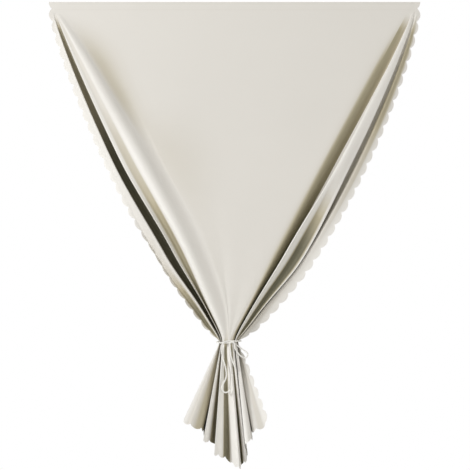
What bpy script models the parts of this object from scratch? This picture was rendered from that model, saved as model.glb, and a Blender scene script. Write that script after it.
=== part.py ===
"""Blackout curtain of one scalloped sheet, drawn into a V by a cord and hung on a hook-and-loop strip.

Metres, +Z up. The origin is the middle of the adhesive strip's back face, which goes on the wall,
and the front of the cloth faces -Y. Distances towards the viewer are called forward, so y = -forward.
The cloth and the cord are drawn with their zero height at the cloth's top edge.
"""

import math
from collections import namedtuple

import bmesh
import bpy
from mathutils import Vector

# The sheet as it is cut
CLOTH_WIDTH = 1.00
CLOTH_HEIGHT = 1.30
CLOTH_THICKNESS = 0.0005
SCALLOP_PITCH = 0.035
SCALLOP_DEPTH = 0.008

# The strip that holds the top edge
TAPE_WIDTH = 0.020
TAPE_TOP_GAP = 0.003
TAPE_END_GAP = 0.012
ADHESIVE_THICKNESS = 0.0005
HOOK_TAPE_THICKNESS = 0.0012
LOOP_TAPE_THICKNESS = 0.0012
FIT_GAP = 0.0003

# How the cloth hangs
FLAT_TOP = 0.030
NECK_HEIGHT_SHARE = 0.7015
NECK_SHIFT = -0.015
NECK_HALF_WIDTH = 0.027
NECK_HALF_DEPTH = 0.018
NECK_FORWARD = 0.050
NECK_ROUNDING = 0.022
TAIL_HALF_SPREAD = 0.125
TAIL_DEPTH = 0.092
SIDE_TAKE_UP = 0.034
CENTRE_TAKE_UP = 0.053

# How a loose fold leaves its straight line: the powers of its run from either end, and where it
# shifts from its high offsets to its low ones
SAG_RISE = 0.8
SAG_FALL = 0.55
FORWARD_EASE = 1.15
TAIL_LENGTH_EASE = 1.25
SHIFT_START = 0.30
SHIFT_RUN = 0.40

# The tie cord
CORD_DIAMETER = 0.0040
CORD_CLEARANCE = 0.0008
TURN_SQUARENESS = 0.75
TURN_START = -3
TURN_ANGLE = 376
TURN_ROOM = 1.06
TURN_DROP = 1.2

# The free stretches of the cord as (right of the neck, ahead of the cloth's front crest, below the
# neck), in metres: the left end up to the knot, and the bow's loop with the right end after it.
LEFT_END = [
    (0.0035, 0.0034, 0.1262),
    (-0.0015, 0.0028, 0.1316),
    (-0.0085, 0.0022, 0.1343),
    (-0.0150, 0.0015, 0.1312),
    (-0.0178, 0.0010, 0.1240),
    (-0.0170, 0.0010, 0.1155),
    (-0.0130, 0.0010, 0.1070),
    (-0.0082, 0.0014, 0.0970),
    (-0.0066, 0.0020, 0.0844),
    (-0.0092, 0.0020, 0.0665),
    (-0.0129, 0.0010, 0.0539),
    (-0.0166, -0.0010, 0.0394),
    (-0.0194, -0.0005, 0.0220),
    (-0.0182, 0.0042, 0.0085),
    (-0.0132, 0.0066, 0.0012),
]
BOW_AND_RIGHT_END = [
    (0.0217, 0.0010, 0.0086),
    (0.0343, -0.0030, 0.0185),
    (0.0470, -0.0042, 0.0274),
    (0.0502, -0.0045, 0.0328),
    (0.0486, -0.0044, 0.0390),
    (0.0432, -0.0040, 0.0422),
    (0.0370, -0.0025, 0.0406),
    (0.0302, -0.0008, 0.0360),
    (0.0223, 0.0018, 0.0265),
    (0.0160, 0.0050, 0.0150),
    (0.0152, 0.0062, 0.0058),
    (0.0129, 0.0067, 0.0009),
    (0.0088, 0.0068, -0.0006),
    (0.0047, 0.0067, 0.0009),
    (0.0024, 0.0058, 0.0058),
    (0.0026, 0.0040, 0.0125),
    (0.0042, 0.0026, 0.0230),
    (0.0060, 0.0020, 0.0381),
    (0.0107, 0.0026, 0.0528),
    (0.0153, 0.0030, 0.0646),
    (0.0179, 0.0030, 0.0729),
]

# How finely the cloth and the cord are divided
UPPER_ROWS = 17
TAIL_ROWS = 8
ROW_EASE = 1.15
NECK_ROW_ABOVE = 0.017
NECK_ROW_BELOW = 0.030
GRIP_SHARE = 0.7
ROUND_SHARE = 0.6
POINTS_PER_SCALLOP = 4
FRINGE = 0.010
BORDER_SHARE = 0.35
EDGE_TURN = 0.12
NECK_REACH = 0.05
EDGE_SAMPLES = 160
CORD_POINTS = 78
CORD_BEVEL_STEPS = 2
CURVE_STEPS = 16
TURN_POINTS = 14

HALF_WIDTH = CLOTH_WIDTH / 2
FOOT_LINE = HALF_WIDTH - SCALLOP_DEPTH
NECK_DROP = CLOTH_HEIGHT * NECK_HEIGHT_SHARE
TAPE_STACK = ADHESIVE_THICKNESS + HOOK_TAPE_THICKNESS + LOOP_TAPE_THICKNESS + 3 * FIT_GAP
TOP_EDGE = TAPE_TOP_GAP + TAPE_WIDTH / 2
CLOTH_FORWARD = TAPE_STACK + CLOTH_THICKNESS / 2
CORNER_TO_NECK = math.hypot(HALF_WIDTH, NECK_DROP)
SIDE_TAIL = CLOTH_HEIGHT - CORNER_TO_NECK - SIDE_TAKE_UP
CENTRE_TAIL = CLOTH_HEIGHT - NECK_DROP - CENTRE_TAKE_UP
GRIP_ABOVE = GRIP_SHARE * CORD_DIAMETER / NECK_DROP
GRIP_BELOW = GRIP_SHARE * CORD_DIAMETER / CENTRE_TAIL

# A crease runs from the tape through the neck to the hem. top is its place on the tape's lower
# edge, as a share of the way out to the scallops' feet. outward and forward say how far it stands
# off the straight line to the neck where it sags most, in metres, high up and low down. neck and
# hem are its places in the neck, as shares of the half sizes, and at the hem, as shares of the half
# spread and of the depth. bend is the share of each side that its round takes, and cloth is its
# place on the flat sheet as a share of the half width.
Crease = namedtuple("Crease", "name top outward forward neck hem bend cloth")

CREASES = [
    Crease("left edge", -1.000, (0.060, 0.056), (0.010, 0.010), (-0.95, -0.45), (-0.82, 0.15), 0.30, -1.00),
    Crease("left late valley", -0.996, (0.051, 0.048), (0.012, 0.000), (-0.93, -0.25), (-1.00, 0.45), 0.45, -0.95),
    Crease("left back crest", -0.991, (0.042, 0.040), (0.018, 0.018), (-0.91, -0.10), (-0.83, 0.76), 0.22, -0.90),
    Crease("left return", -0.986, (0.040, 0.0385), (-0.008, -0.008), (-0.70, -0.80), (-0.56, 0.62), 0.30, -0.84),
    Crease("left tuck", -0.982, (-0.045, -0.045), (-0.004, -0.004), (-0.12, -0.75), (-0.53, 0.10), 0.30, -0.74),
    Crease("left wall foot", -0.979, (0.020, 0.020), (0.002, 0.002), (-0.76, -0.50), (-0.52, 0.45), 0.30, -0.63),
    Crease("left light crest", -0.976, (0.027, 0.025), (0.020, 0.020), (-0.78, 0.55), (-0.545, 0.80), 0.22, -0.57),
    Crease("left brown valley", -0.973, (0.010, 0.008), (0.021, 0.003), (-0.67, 0.10), (-0.29, 0.13), 0.35, -0.52),
    Crease("left ridge", -0.970, (-0.004, -0.011), (0.027, 0.028), (-0.61, 0.83), (-0.31, 0.88), 0.40, -0.31),
    Crease("left soft valley", -0.942, (-0.060, -0.070), (-0.004, 0.000), (-0.44, 0.92), (-0.10, 0.40), 0.50, -0.21),
    Crease("panel left", -0.700, (-0.040, -0.045), (0.000, 0.000), (-0.22, 0.97), (0.00, 0.28), 0.50, -0.13),
    Crease("panel centre", 0.000, (0.000, 0.000), (0.000, 0.000), (0.00, 1.00), (0.163, 0.93), 0.45, 0.00),
    Crease("panel right", 0.915, (-0.007, -0.008), (0.002, 0.000), (0.22, 0.97), (0.205, 0.30), 0.30, 0.08),
    Crease("right turn", 0.945, (-0.002, -0.001), (-0.001, -0.003), (0.42, 0.92), (0.36, 0.72), 0.35, 0.13),
    Crease("right dark valley", 0.970, (0.016, 0.018), (-0.018, -0.018), (0.57, 0.05), (0.40, 0.20), 0.35, 0.28),
    Crease("right front crest", 0.974, (0.016, 0.019), (0.022, 0.022), (0.63, 0.80), (0.29, 0.95), 0.25, 0.56),
    Crease("right late valley", 0.978, (0.030, 0.036), (0.024, 0.002), (0.70, 0.50), (0.38, 1.00), 0.35, 0.59),
    Crease("right strip edge", 0.982, (0.046, 0.049), (0.014, 0.014), (0.78, 0.62), (0.47, 0.93), 0.25, 0.61),
    Crease("right wall foot", 0.984, (0.040, 0.044), (-0.002, -0.002), (0.74, -0.50), (0.49, 0.50), 0.30, 0.66),
    Crease("right tuck", 0.986, (0.010, 0.010), (-0.006, -0.006), (0.15, -0.75), (0.45, 0.12), 0.30, 0.73),
    Crease("right return", 0.990, (0.054, 0.054), (-0.008, -0.008), (0.70, -0.80), (0.484, 0.58), 0.30, 0.80),
    Crease("right back crest", 0.994, (0.062, 0.060), (0.016, 0.016), (0.92, 0.00), (0.69, 0.72), 0.25, 0.88),
    Crease("right edge", 1.000, (0.083, 0.082), (0.012, 0.018), (0.90, -0.30), (0.80, 0.58), 0.30, 1.00),
]
LAST = len(CREASES) - 1
FIRST_PANEL = 10
LAST_PANEL = 12
FRONT_CREST = CREASES[11]


def smooth_step(x):
    """Rises smoothly from 0 to 1 as x does."""
    x = min(1.0, max(0.0, x))
    return x * x * (3 - 2 * x)


def sag(t):
    """How far a loose fold stands off its straight line, 0 at both ends and 1 where it is fullest."""
    fullest = SAG_RISE / (SAG_RISE + SAG_FALL)
    peak = fullest**SAG_RISE * (1 - fullest) ** SAG_FALL
    return t**SAG_RISE * (1 - t) ** SAG_FALL / peak


def pinched(x):
    """A share from 0 at the neck to 1, rounded near the neck so that the cloth passes under the cord."""
    e = NECK_ROUNDING
    return (math.hypot(x, e) - e) / (math.hypot(1, e) - e)


def neck_place(crease):
    """The crease's place in the bundle under the cord."""
    across, deep = crease.neck
    x = NECK_SHIFT + across * NECK_HALF_WIDTH
    return Vector((x, -(NECK_FORWARD + deep * NECK_HALF_DEPTH), -NECK_DROP))


def hem_place(crease):
    """The crease's lower end, from the cloth that is left below the neck."""
    neck = neck_place(crease)
    share = (1 - abs(crease.cloth)) ** TAIL_LENGTH_EASE
    length = SIDE_TAIL + (CENTRE_TAIL - SIDE_TAIL) * share
    x = NECK_SHIFT + crease.hem[0] * TAIL_HALF_SPREAD
    y = -crease.hem[1] * TAIL_DEPTH
    drop = math.sqrt(length**2 - (x - neck.x) ** 2 - (y - neck.y) ** 2)
    return Vector((x, y, neck.z - drop))


def crease_place(crease, t):
    """A point of a crease: t is -1 at the top edge, 0 below the tape, 1 at the neck and 2 at the hem."""
    side = math.copysign(1, crease.top)
    tape = Vector((crease.top * FOOT_LINE, -CLOTH_FORWARD, -FLAT_TOP))
    if t <= 0:
        return Vector((tape.x, tape.y, tape.z * (1 + t)))
    neck = neck_place(crease)
    if t > 1:
        hem = hem_place(crease)
        spread = pinched(t - 1)
        x = neck.x + (hem.x - neck.x) * spread
        y = neck.y + (hem.y - neck.y) * spread
        return Vector((x, y, neck.z + (hem.z - neck.z) * (t - 1)))
    near = pinched(1 - t)
    place = neck.lerp(tape, near)
    place.y = tape.y + (neck.y - tape.y) * (1 - near) ** FORWARD_EASE
    place.z = tape.z + (neck.z - tape.z) * t
    loose = sag(1 - near)
    lower = smooth_step((t - SHIFT_START) / SHIFT_RUN)
    stray, stand = [high + (low - high) * lower for high, low in (crease.outward, crease.forward)]
    run = math.hypot(HALF_WIDTH, NECK_DROP - FLAT_TOP)
    outward = Vector((side * (NECK_DROP - FLAT_TOP) / run, 0, -HALF_WIDTH / run))
    return place + outward * (stray * loose) + Vector((0, -stand * loose, 0))


def cloth_place(q, t):
    """A point of the cloth's middle surface: q counts the creases from the left, rounded at each."""
    k = min(LAST, max(0, round(q)))
    here = crease_place(CREASES[k], t)
    if k in (0, LAST):
        other = crease_place(CREASES[1 if k == 0 else LAST - 1], t)
        return here.lerp(other, abs(q - k))
    before = crease_place(CREASES[k - 1], t)
    after = crease_place(CREASES[k + 1], t)
    bend = CREASES[k].bend
    if abs(q - k) >= bend:
        return here.lerp(after if q > k else before, abs(q - k))
    start = here.lerp(before, bend)
    end = here.lerp(after, bend)
    share = (q - k + bend) / (2 * bend)
    return start.lerp(here, share).lerp(here.lerp(end, share), share)


def edge_place(left, t, out):
    """A point of the scalloped side edge, out metres beyond the line of the scallops' feet."""
    first, second = (0, 1) if left else (LAST, LAST - 1)
    edge = crease_place(CREASES[first], t)
    away = (edge - crease_place(CREASES[second], t)).normalized()
    side = Vector((math.copysign(1, edge.x), 0, 0))
    away = side.lerp(away, smooth_step(t / EDGE_TURN)).normalized()
    squeezed = smooth_step(abs(t - 1) / NECK_REACH)
    return edge + away * out * squeezed


def inner_edge_place(left, t):
    """The place where the scalloped border meets the rest of the cloth."""
    first, second = (0, 1) if left else (LAST, LAST - 1)
    edge = crease_place(CREASES[first], t)
    inner = crease_place(CREASES[second], t)
    share = min(BORDER_SHARE, FRINGE / (inner - edge).length)
    return edge.lerp(inner, share)


def hem_point(q, down):
    """A point below the hem's line of scallop feet, down metres along the fold."""
    low = cloth_place(q, 2.0)
    above = cloth_place(q, 2.0 - NECK_REACH)
    return low + (low - above).normalized() * down


def scallop(share):
    """How far a round scallop stands out at this share of its width."""
    half = SCALLOP_PITCH / 2
    radius = (half**2 + SCALLOP_DEPTH**2) / (2 * SCALLOP_DEPTH)
    x = (2 * share - 1) * half
    return math.sqrt(radius**2 - x**2) - (radius - SCALLOP_DEPTH)


def row_values():
    """The values of t that hold a row of points."""
    rows = [-1.0, 0.0]
    rows += [(k / UPPER_ROWS) ** ROW_EASE for k in range(1, UPPER_ROWS)]
    rows += [1 - NECK_ROW_ABOVE, 1 - GRIP_ABOVE, 1 + GRIP_BELOW, 1 + NECK_ROW_BELOW]
    rows += [1 + (k / TAIL_ROWS) ** (1 / ROW_EASE) for k in range(1, TAIL_ROWS)]
    rows.append(2 - FRINGE / SIDE_TAIL)
    return sorted(rows)


def column_values():
    """The values of q that hold a column: each crease, both ends of its round, and the panel's middle."""
    columns = []
    for k in range(1, LAST):
        reach = ROUND_SHARE * CREASES[k].bend
        columns += [k - reach, k, k + reach]
        if FIRST_PANEL <= k <= LAST_PANEL:
            columns.append(k + 0.5)
    return sorted(columns)


def along(path):
    """The length run at each place of a path."""
    lengths = [0.0]
    for a, b in zip(path, path[1:]):
        lengths.append(lengths[-1] + (b - a).length)
    return lengths


def even_steps(lengths, count):
    """Evenly spaced positions on a path of these lengths, as (index of the stretch, share of it)."""
    found = []
    k = 0
    for step in range(count + 1):
        goal = lengths[-1] * step / count
        while k < len(lengths) - 2 and lengths[k + 1] < goal:
            k += 1
        found.append((k, (goal - lengths[k]) / (lengths[k + 1] - lengths[k])))
    return found


def scalloped(values, place, phase):
    """Values along the line that place draws, several for each scallop, with the scallop's height."""
    lengths = along([place(value) for value in values])
    count = round(lengths[-1] / SCALLOP_PITCH)
    steps = round((count - phase) * POINTS_PER_SCALLOP)
    found = []
    for step, (k, share) in enumerate(even_steps(lengths, steps)):
        value = values[k] + (values[k + 1] - values[k]) * share
        found.append((value, scallop((phase + step / POINTS_PER_SCALLOP) % 1.0)))
    return found


def side_outline(left):
    """The scalloped side edge from the crest at the top corner to the foot at the hem's corner."""
    values = [3 * k / EDGE_SAMPLES - 1 for k in range(EDGE_SAMPLES + 1)]
    line = scalloped(values, lambda t: edge_place(left, t, 0), 0.5)
    below = next(k for k, (t, _) in enumerate(line) if t > 1)
    line[below - 1] = (1 - GRIP_ABOVE, line[below - 1][1])
    line[below] = (1 + GRIP_BELOW, line[below][1])
    return [(t, edge_place(left, t, height)) for t, height in line]


def hem_outline():
    """The scalloped hem from its left corner to its right one."""
    values = [LAST * k / EDGE_SAMPLES for k in range(EDGE_SAMPLES + 1)]
    line = scalloped(values, lambda q: cloth_place(q, 2.0), 0.0)
    return [(q, hem_point(q, height)) for q, height in line]


def zip_strip(mesh, inner, outer, flip):
    """Fills the strip between two lines of (value, vertex) that run the same way."""
    i = j = 0
    while i < len(inner) - 1 or j < len(outer) - 1:
        more_inner = i < len(inner) - 1
        more_outer = j < len(outer) - 1
        if more_inner and (not more_outer or inner[i + 1][0] <= outer[j + 1][0]):
            face = [inner[i][1], inner[i + 1][1], outer[j][1]]
            i += 1
        else:
            face = [inner[i][1], outer[j + 1][1], outer[j][1]]
            j += 1
        mesh.faces.new(face[::-1] if flip else face)


def sheet_mesh():
    """The open middle surface of the cloth, front side towards -Y, with its scalloped outline."""
    mesh = bmesh.new()
    rows = row_values()
    columns = column_values()
    grid = []
    for t in rows:
        line = [mesh.verts.new(inner_edge_place(True, t))]
        line += [mesh.verts.new(cloth_place(q, t)) for q in columns]
        line.append(mesh.verts.new(inner_edge_place(False, t)))
        grid.append(line)
    for upper, lower in zip(grid, grid[1:]):
        for k in range(len(upper) - 1):
            mesh.faces.new((upper[k], lower[k], lower[k + 1], upper[k + 1]))

    left = [(t, mesh.verts.new(place)) for t, place in side_outline(True)]
    right = [(t, mesh.verts.new(place)) for t, place in side_outline(False)]
    inner_left = [(t, line[0]) for t, line in zip(rows, grid)]
    inner_right = [(t, line[-1]) for t, line in zip(rows, grid)]
    zip_strip(mesh, inner_left, left, True)
    zip_strip(mesh, inner_right, right, False)

    hem = hem_outline()
    middle = [(q, mesh.verts.new(place)) for q, place in hem[1:-1]]
    outer = [(0.0, left[-1][1])] + middle + [(float(LAST), right[-1][1])]
    inner = [(0.0, grid[-1][0])] + list(zip(columns, grid[-1][1:-1])) + [(float(LAST), grid[-1][-1])]
    zip_strip(mesh, inner, outer, True)
    mesh.normal_update()
    return mesh


def make_material(name, colour, roughness, metallic=0.0):
    """A plain surface of one colour."""
    material = bpy.data.materials.new(name)
    material.use_nodes = True
    surface = material.node_tree.nodes["Principled BSDF"]
    surface.inputs["Base Color"].default_value = (*colour, 1.0)
    surface.inputs["Roughness"].default_value = roughness
    surface.inputs["Metallic"].default_value = metallic
    return material


def add_object(name, data, material, collection):
    """A named object with its material, in the curtain's collection."""
    data.materials.append(material)
    obj = bpy.data.objects.new(name, data)
    collection.objects.link(obj)
    return obj


def make_curtain(collection):
    """The cloth: the open surface, given its thickness."""
    mesh = sheet_mesh()
    data = bpy.data.meshes.new("curtain_panel")
    mesh.to_mesh(data)
    mesh.free()
    data.shade_smooth()
    cloth = make_material("coated_cloth", (0.70, 0.68, 0.63), 0.62)
    obj = add_object("curtain_panel", data, cloth, collection)
    obj.location = (0, 0, TOP_EDGE)
    solid = obj.modifiers.new("thickness", "SOLIDIFY")
    solid.thickness = CLOTH_THICKNESS
    solid.offset = 0.0
    return obj


def make_tape(name, thickness, forward, material, collection):
    """One flat strip along the top edge: its back face is forward metres from the wall."""
    length = CLOTH_WIDTH - 2 * TAPE_END_GAP
    mesh = bmesh.new()
    bmesh.ops.create_cube(mesh, size=1.0)
    bmesh.ops.scale(mesh, vec=(length, thickness, TAPE_WIDTH), verts=mesh.verts)
    data = bpy.data.meshes.new(name)
    mesh.to_mesh(data)
    mesh.free()
    obj = add_object(name, data, material, collection)
    obj.location = (0, -(forward + thickness / 2), 0)
    return obj


def make_tapes(collection):
    """The adhesive, the hook strip on it and the loop strip on the cloth, from the wall outwards."""
    forward = 0.0
    layers = [
        ("adhesive_strip", ADHESIVE_THICKNESS, (0.80, 0.80, 0.76), 0.45),
        ("hook_tape", HOOK_TAPE_THICKNESS, (0.82, 0.82, 0.80), 0.60),
        ("loop_tape", LOOP_TAPE_THICKNESS, (0.84, 0.83, 0.80), 0.95),
    ]
    for name, thickness, colour, roughness in layers:
        material = make_material(name, colour, roughness)
        make_tape(name, thickness, forward, material, collection)
        forward += thickness + FIT_GAP


def free_place(right, ahead, below):
    """A place of the cord's free stretches, measured from the neck and the cloth's front crest."""
    t = 1 + below / (-NECK_DROP - hem_place(FRONT_CREST).z)
    crest = crease_place(FRONT_CREST, t)
    gap = ahead + (CLOTH_THICKNESS + CORD_DIAMETER) / 2
    return Vector((NECK_SHIFT + right, crest.y - gap, -NECK_DROP - below))


def neck_turn():
    """The cord's turn round the neck, from its front over the right side and back to its front."""
    room = CORD_CLEARANCE + (CLOTH_THICKNESS + CORD_DIAMETER) / 2
    across = NECK_HALF_WIDTH * TURN_ROOM + room
    deep = NECK_HALF_DEPTH * TURN_ROOM + room
    points = []
    for k in range(TURN_POINTS + 1):
        share = k / TURN_POINTS
        angle = math.radians(TURN_START + share * TURN_ANGLE)
        s = math.sin(angle)
        c = math.cos(angle)
        x = NECK_SHIFT + across * math.copysign(abs(s) ** TURN_SQUARENESS, s)
        forward = NECK_FORWARD + deep * math.copysign(abs(c) ** TURN_SQUARENESS, c)
        lower = CORD_DIAMETER * TURN_DROP * (smooth_step(share) - 0.5)
        points.append(Vector((x, -forward, -NECK_DROP - lower)))
    return points


def smooth_route(knots, count):
    """Evenly spaced places on one smooth curve through the given places."""
    knots = [2 * knots[0] - knots[1]] + knots + [2 * knots[-1] - knots[-2]]
    fine = []
    for a, b, c, d in zip(knots, knots[1:], knots[2:], knots[3:]):
        for step in range(CURVE_STEPS):
            s = step / CURVE_STEPS
            place = b * 2 + (c - a) * s + (a * 2 - b * 5 + c * 4 - d) * s**2
            fine.append((place + (b * 3 - a - c * 3 + d) * s**3) / 2)
    fine.append(knots[-2])
    return [fine[k].lerp(fine[k + 1], share) for k, share in even_steps(along(fine), count - 1)]


def make_cord(collection):
    """The tie cord: one tube from its left end, once round the neck and through its bow."""
    left = [free_place(*place) for place in LEFT_END]
    right = [free_place(*place) for place in BOW_AND_RIGHT_END]
    route = smooth_route(left + neck_turn() + right, CORD_POINTS)
    data = bpy.data.curves.new("tie_cord", "CURVE")
    data.dimensions = "3D"
    data.bevel_depth = CORD_DIAMETER / 2
    data.bevel_resolution = CORD_BEVEL_STEPS
    data.use_fill_caps = True
    spline = data.splines.new("POLY")
    spline.points.add(len(route) - 1)
    for point, place in zip(spline.points, route):
        point.co = (*place, 1.0)
    material = make_material("cotton_cord", (0.86, 0.85, 0.82), 0.90)
    obj = add_object("tie_cord", data, material, collection)
    obj.location = (0, 0, TOP_EDGE)
    return obj


def clear_scene():
    """Removes the objects that are in the scene."""
    for obj in list(bpy.data.objects):
        bpy.data.objects.remove(obj, do_unlink=True)


def main():
    """Builds the curtain's pieces in their own collection."""
    clear_scene()
    collection = bpy.data.collections.new("blackout_curtain")
    bpy.context.scene.collection.children.link(collection)
    make_curtain(collection)
    make_tapes(collection)
    make_cord(collection)


main()
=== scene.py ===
"""Adhesive blackout curtain, dressed for its studio picture.

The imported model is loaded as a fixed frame. Its plain solids are then replaced, each in its own
place, by pieces with the detail of the real ones: the folded sheet with its scalloped border and
coated weave, the sewn hook-and-loop strip behind its top edge, and the twisted cord that ties it.

Metres, +Z up, front towards -Y. Distances towards the viewer are called forward, so y = -forward.
"""

import logging
import math
from dataclasses import dataclass
from enum import Enum

import bmesh
import bpy
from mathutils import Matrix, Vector, noise


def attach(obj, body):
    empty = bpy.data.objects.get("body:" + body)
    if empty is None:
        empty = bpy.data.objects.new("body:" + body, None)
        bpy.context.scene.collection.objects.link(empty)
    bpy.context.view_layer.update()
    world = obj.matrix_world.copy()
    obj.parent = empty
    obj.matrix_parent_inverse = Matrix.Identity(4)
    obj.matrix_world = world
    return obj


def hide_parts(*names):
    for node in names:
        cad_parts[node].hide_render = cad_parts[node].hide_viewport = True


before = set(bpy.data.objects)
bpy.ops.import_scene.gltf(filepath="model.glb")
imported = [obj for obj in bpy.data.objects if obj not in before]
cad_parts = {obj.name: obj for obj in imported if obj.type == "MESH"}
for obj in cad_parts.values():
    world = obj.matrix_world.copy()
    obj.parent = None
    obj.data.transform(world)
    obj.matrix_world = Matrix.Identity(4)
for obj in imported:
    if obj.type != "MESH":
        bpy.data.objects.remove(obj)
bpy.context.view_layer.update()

LOG = logging.getLogger("blackout_curtain")
BODY = "root"

Colour = tuple[float, float, float]


class Side(Enum):
    """The two side edges of the sheet, as (edge crease, its neighbour, sign of x)."""

    LEFT = (0, 1, -1)
    RIGHT = (22, 21, 1)


class Pile(Enum):
    """The two kinds of pile of the hold-up strip, as (name, pitch, side, turn).

    The side is -1 for a pile that stands towards the viewer and 1 for one that stands towards the
    wall. The turn is how far each thread is turned out of line, in radians.
    """

    HOOK = ("hook", 0.0040, -1.0, 0.25)
    LOOP = ("loop", 0.0033, 1.0, math.pi)


@dataclass(frozen=True)
class SheetSizes:
    """The sheet as it is cut.

    Attributes:
        width: Between the crests of the side scallops.
        height: From the top edge to the crests of the hem's scallops.
        thickness: Of the coated cloth.
        scallop_pitch: Width of one scallop.
        scallop_depth: How far a scallop's crest stands beyond its feet.
    """

    width: float = 1.00
    height: float = 1.30
    thickness: float = 0.0005
    scallop_pitch: float = 0.035
    scallop_depth: float = 0.008

    @property
    def half_width(self) -> float:
        """Half the width."""
        return self.width / 2

    @property
    def foot_line(self) -> float:
        """Distance of the side scallops' feet from the middle."""
        return self.half_width - self.scallop_depth

    @property
    def cut_area(self) -> float:
        """Area of the flat sheet: the rectangle less what the scallops leave out."""
        left_out = self.scallop_depth / 3
        return self.width * self.height - left_out * (2 * self.height + self.width)


@dataclass(frozen=True)
class StripSizes:
    """The hook-and-loop strip behind the top edge.

    Attributes:
        width: Height of the strip's face.
        top_gap: From the cloth's top edge down to the strip.
        end_gap: From the cloth's side to the strip's end.
        adhesive: Thickness of the sticky layer.
        tape: Thickness of each half of the strip, its pile included.
        web: Thickness of a half's woven base.
        gap: What stays open between neighbours.
        film_round_off: Size of the sticky layer's softened edges.
        web_round_off: Size of the webs' softened edges.
        pile_margin: Width of the strip's face that stays free of pile.
        pile_stagger: How far every other row of pile is moved, as a share of its pitch.
        pile_fill: Height of the pile as a share of the room for it.
        stitch_inset: From the strip's long edges to the stitches.
        stitch_end_gap: From the strip's ends to the stitches.
    """

    width: float = 0.020
    top_gap: float = 0.003
    end_gap: float = 0.012
    adhesive: float = 0.0005
    tape: float = 0.0012
    web: float = 0.0005
    gap: float = 0.0003
    film_round_off: float = 0.0001
    web_round_off: float = 0.00015
    pile_margin: float = 0.003
    pile_stagger: float = 0.25
    pile_fill: float = 0.9
    stitch_inset: float = 0.0022
    stitch_end_gap: float = 0.004

    @property
    def stack(self) -> float:
        """From the wall to the cloth's back."""
        return self.adhesive + 2 * self.tape + 3 * self.gap

    @property
    def top_edge(self) -> float:
        """Height of the cloth's top edge over the strip's middle."""
        return self.top_gap + self.width / 2


@dataclass(frozen=True)
class Hang:
    """How the cloth hangs, in metres, in shares of a length and in values of t.

    Attributes:
        flat_top: From the top edge down to where the folds start.
        neck_height_share: From the top edge down to the neck, as a share of the sheet's height.
        neck_shift: How far the neck stands right of the middle.
        neck_half_width: Half the width of the bundle in the neck.
        neck_half_depth: Half its depth.
        neck_forward: From the wall to its middle.
        neck_rounding: How softly the folds turn into the neck.
        tail_half_spread: Half the width of the fanned hem.
        tail_depth: How far the hem's foremost folds stand off the wall.
        side_take_up: Length of side edge that the neck and the sag take up.
        centre_take_up: The same in the middle of the sheet.
        sag_rise: Power of the sag's rise from the tape.
        sag_fall: Power of its fall to the neck.
        forward_ease: Power of the cloth's way forward to the neck.
        tail_length_ease: Power of the tail's growth from the sides to the middle.
        shift_start: Where the low shape starts to take over from the high one, as a value of t.
        shift_run: How far that change takes.
        near_start: Where the shape near the neck starts to take over from the low one.
        near_run: How far that change takes.
        tail_start: Where the tail's rounds and painted shade start to take over from those above.
        tail_run: How far that change takes.
        border_share: Most of the way to the next crease that the scalloped border may take.
        border_width: Width of the scalloped border inside its feet.
        edge_turn: How far below the tape the scallops turn with the fold.
        neck_reach: How near the neck the scallops die out.
    """

    flat_top: float = 0.030
    neck_height_share: float = 0.7015
    neck_shift: float = -0.015
    neck_half_width: float = 0.027
    neck_half_depth: float = 0.018
    neck_forward: float = 0.050
    neck_rounding: float = 0.022
    tail_half_spread: float = 0.125
    tail_depth: float = 0.092
    side_take_up: float = 0.034
    centre_take_up: float = 0.053
    sag_rise: float = 0.8
    sag_fall: float = 0.55
    forward_ease: float = 1.15
    tail_length_ease: float = 1.25
    shift_start: float = 0.42
    shift_run: float = 0.30
    near_start: float = 0.72
    near_run: float = 0.20
    tail_start: float = 0.96
    tail_run: float = 0.10
    border_share: float = 0.35
    border_width: float = 0.004
    edge_turn: float = 0.12
    neck_reach: float = 0.05


@dataclass(frozen=True)
class Crease:
    """One crease, from the tape through the neck to the hem.

    Attributes:
        top: Place on the tape's lower edge, as a share of the way out to the scallops' feet.
        outward: Metres off the straight line to the neck, sideways, where it sags most: high up, low
            down and near the neck.
        forward: The same towards the viewer.
        neck: Place in the neck, as shares of its half width and half depth.
        hem: Place at the hem, as shares of the half spread and of the depth.
        bend: Share of each side that its round takes: above and below the neck.
        cloth: Place on the flat sheet, as a share of the half width.
        shade: Painted shade laid into the cloth's colour there, from 0 to 1 where it lies deep in a fold,
            or
        a painted highlight below 0 where it stands in full light: at the top, a third of the way down, low
        down, near the neck and below it.
            light: at the top, a third of the way down, low down, near the neck and below it.
        change: Where between this crease and the next the shade changes: above and below the neck.
    """

    top: float
    outward: tuple[float, float, float]
    forward: tuple[float, float, float]
    neck: tuple[float, float]
    hem: tuple[float, float]
    bend: tuple[float, float]
    cloth: float
    shade: tuple[float, float, float, float, float]
    change: tuple[float, float] = (0.5, 0.5)


# The shade values below are painted shade, and below 0 painted highlight, laid into the cloth's colour.
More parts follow.
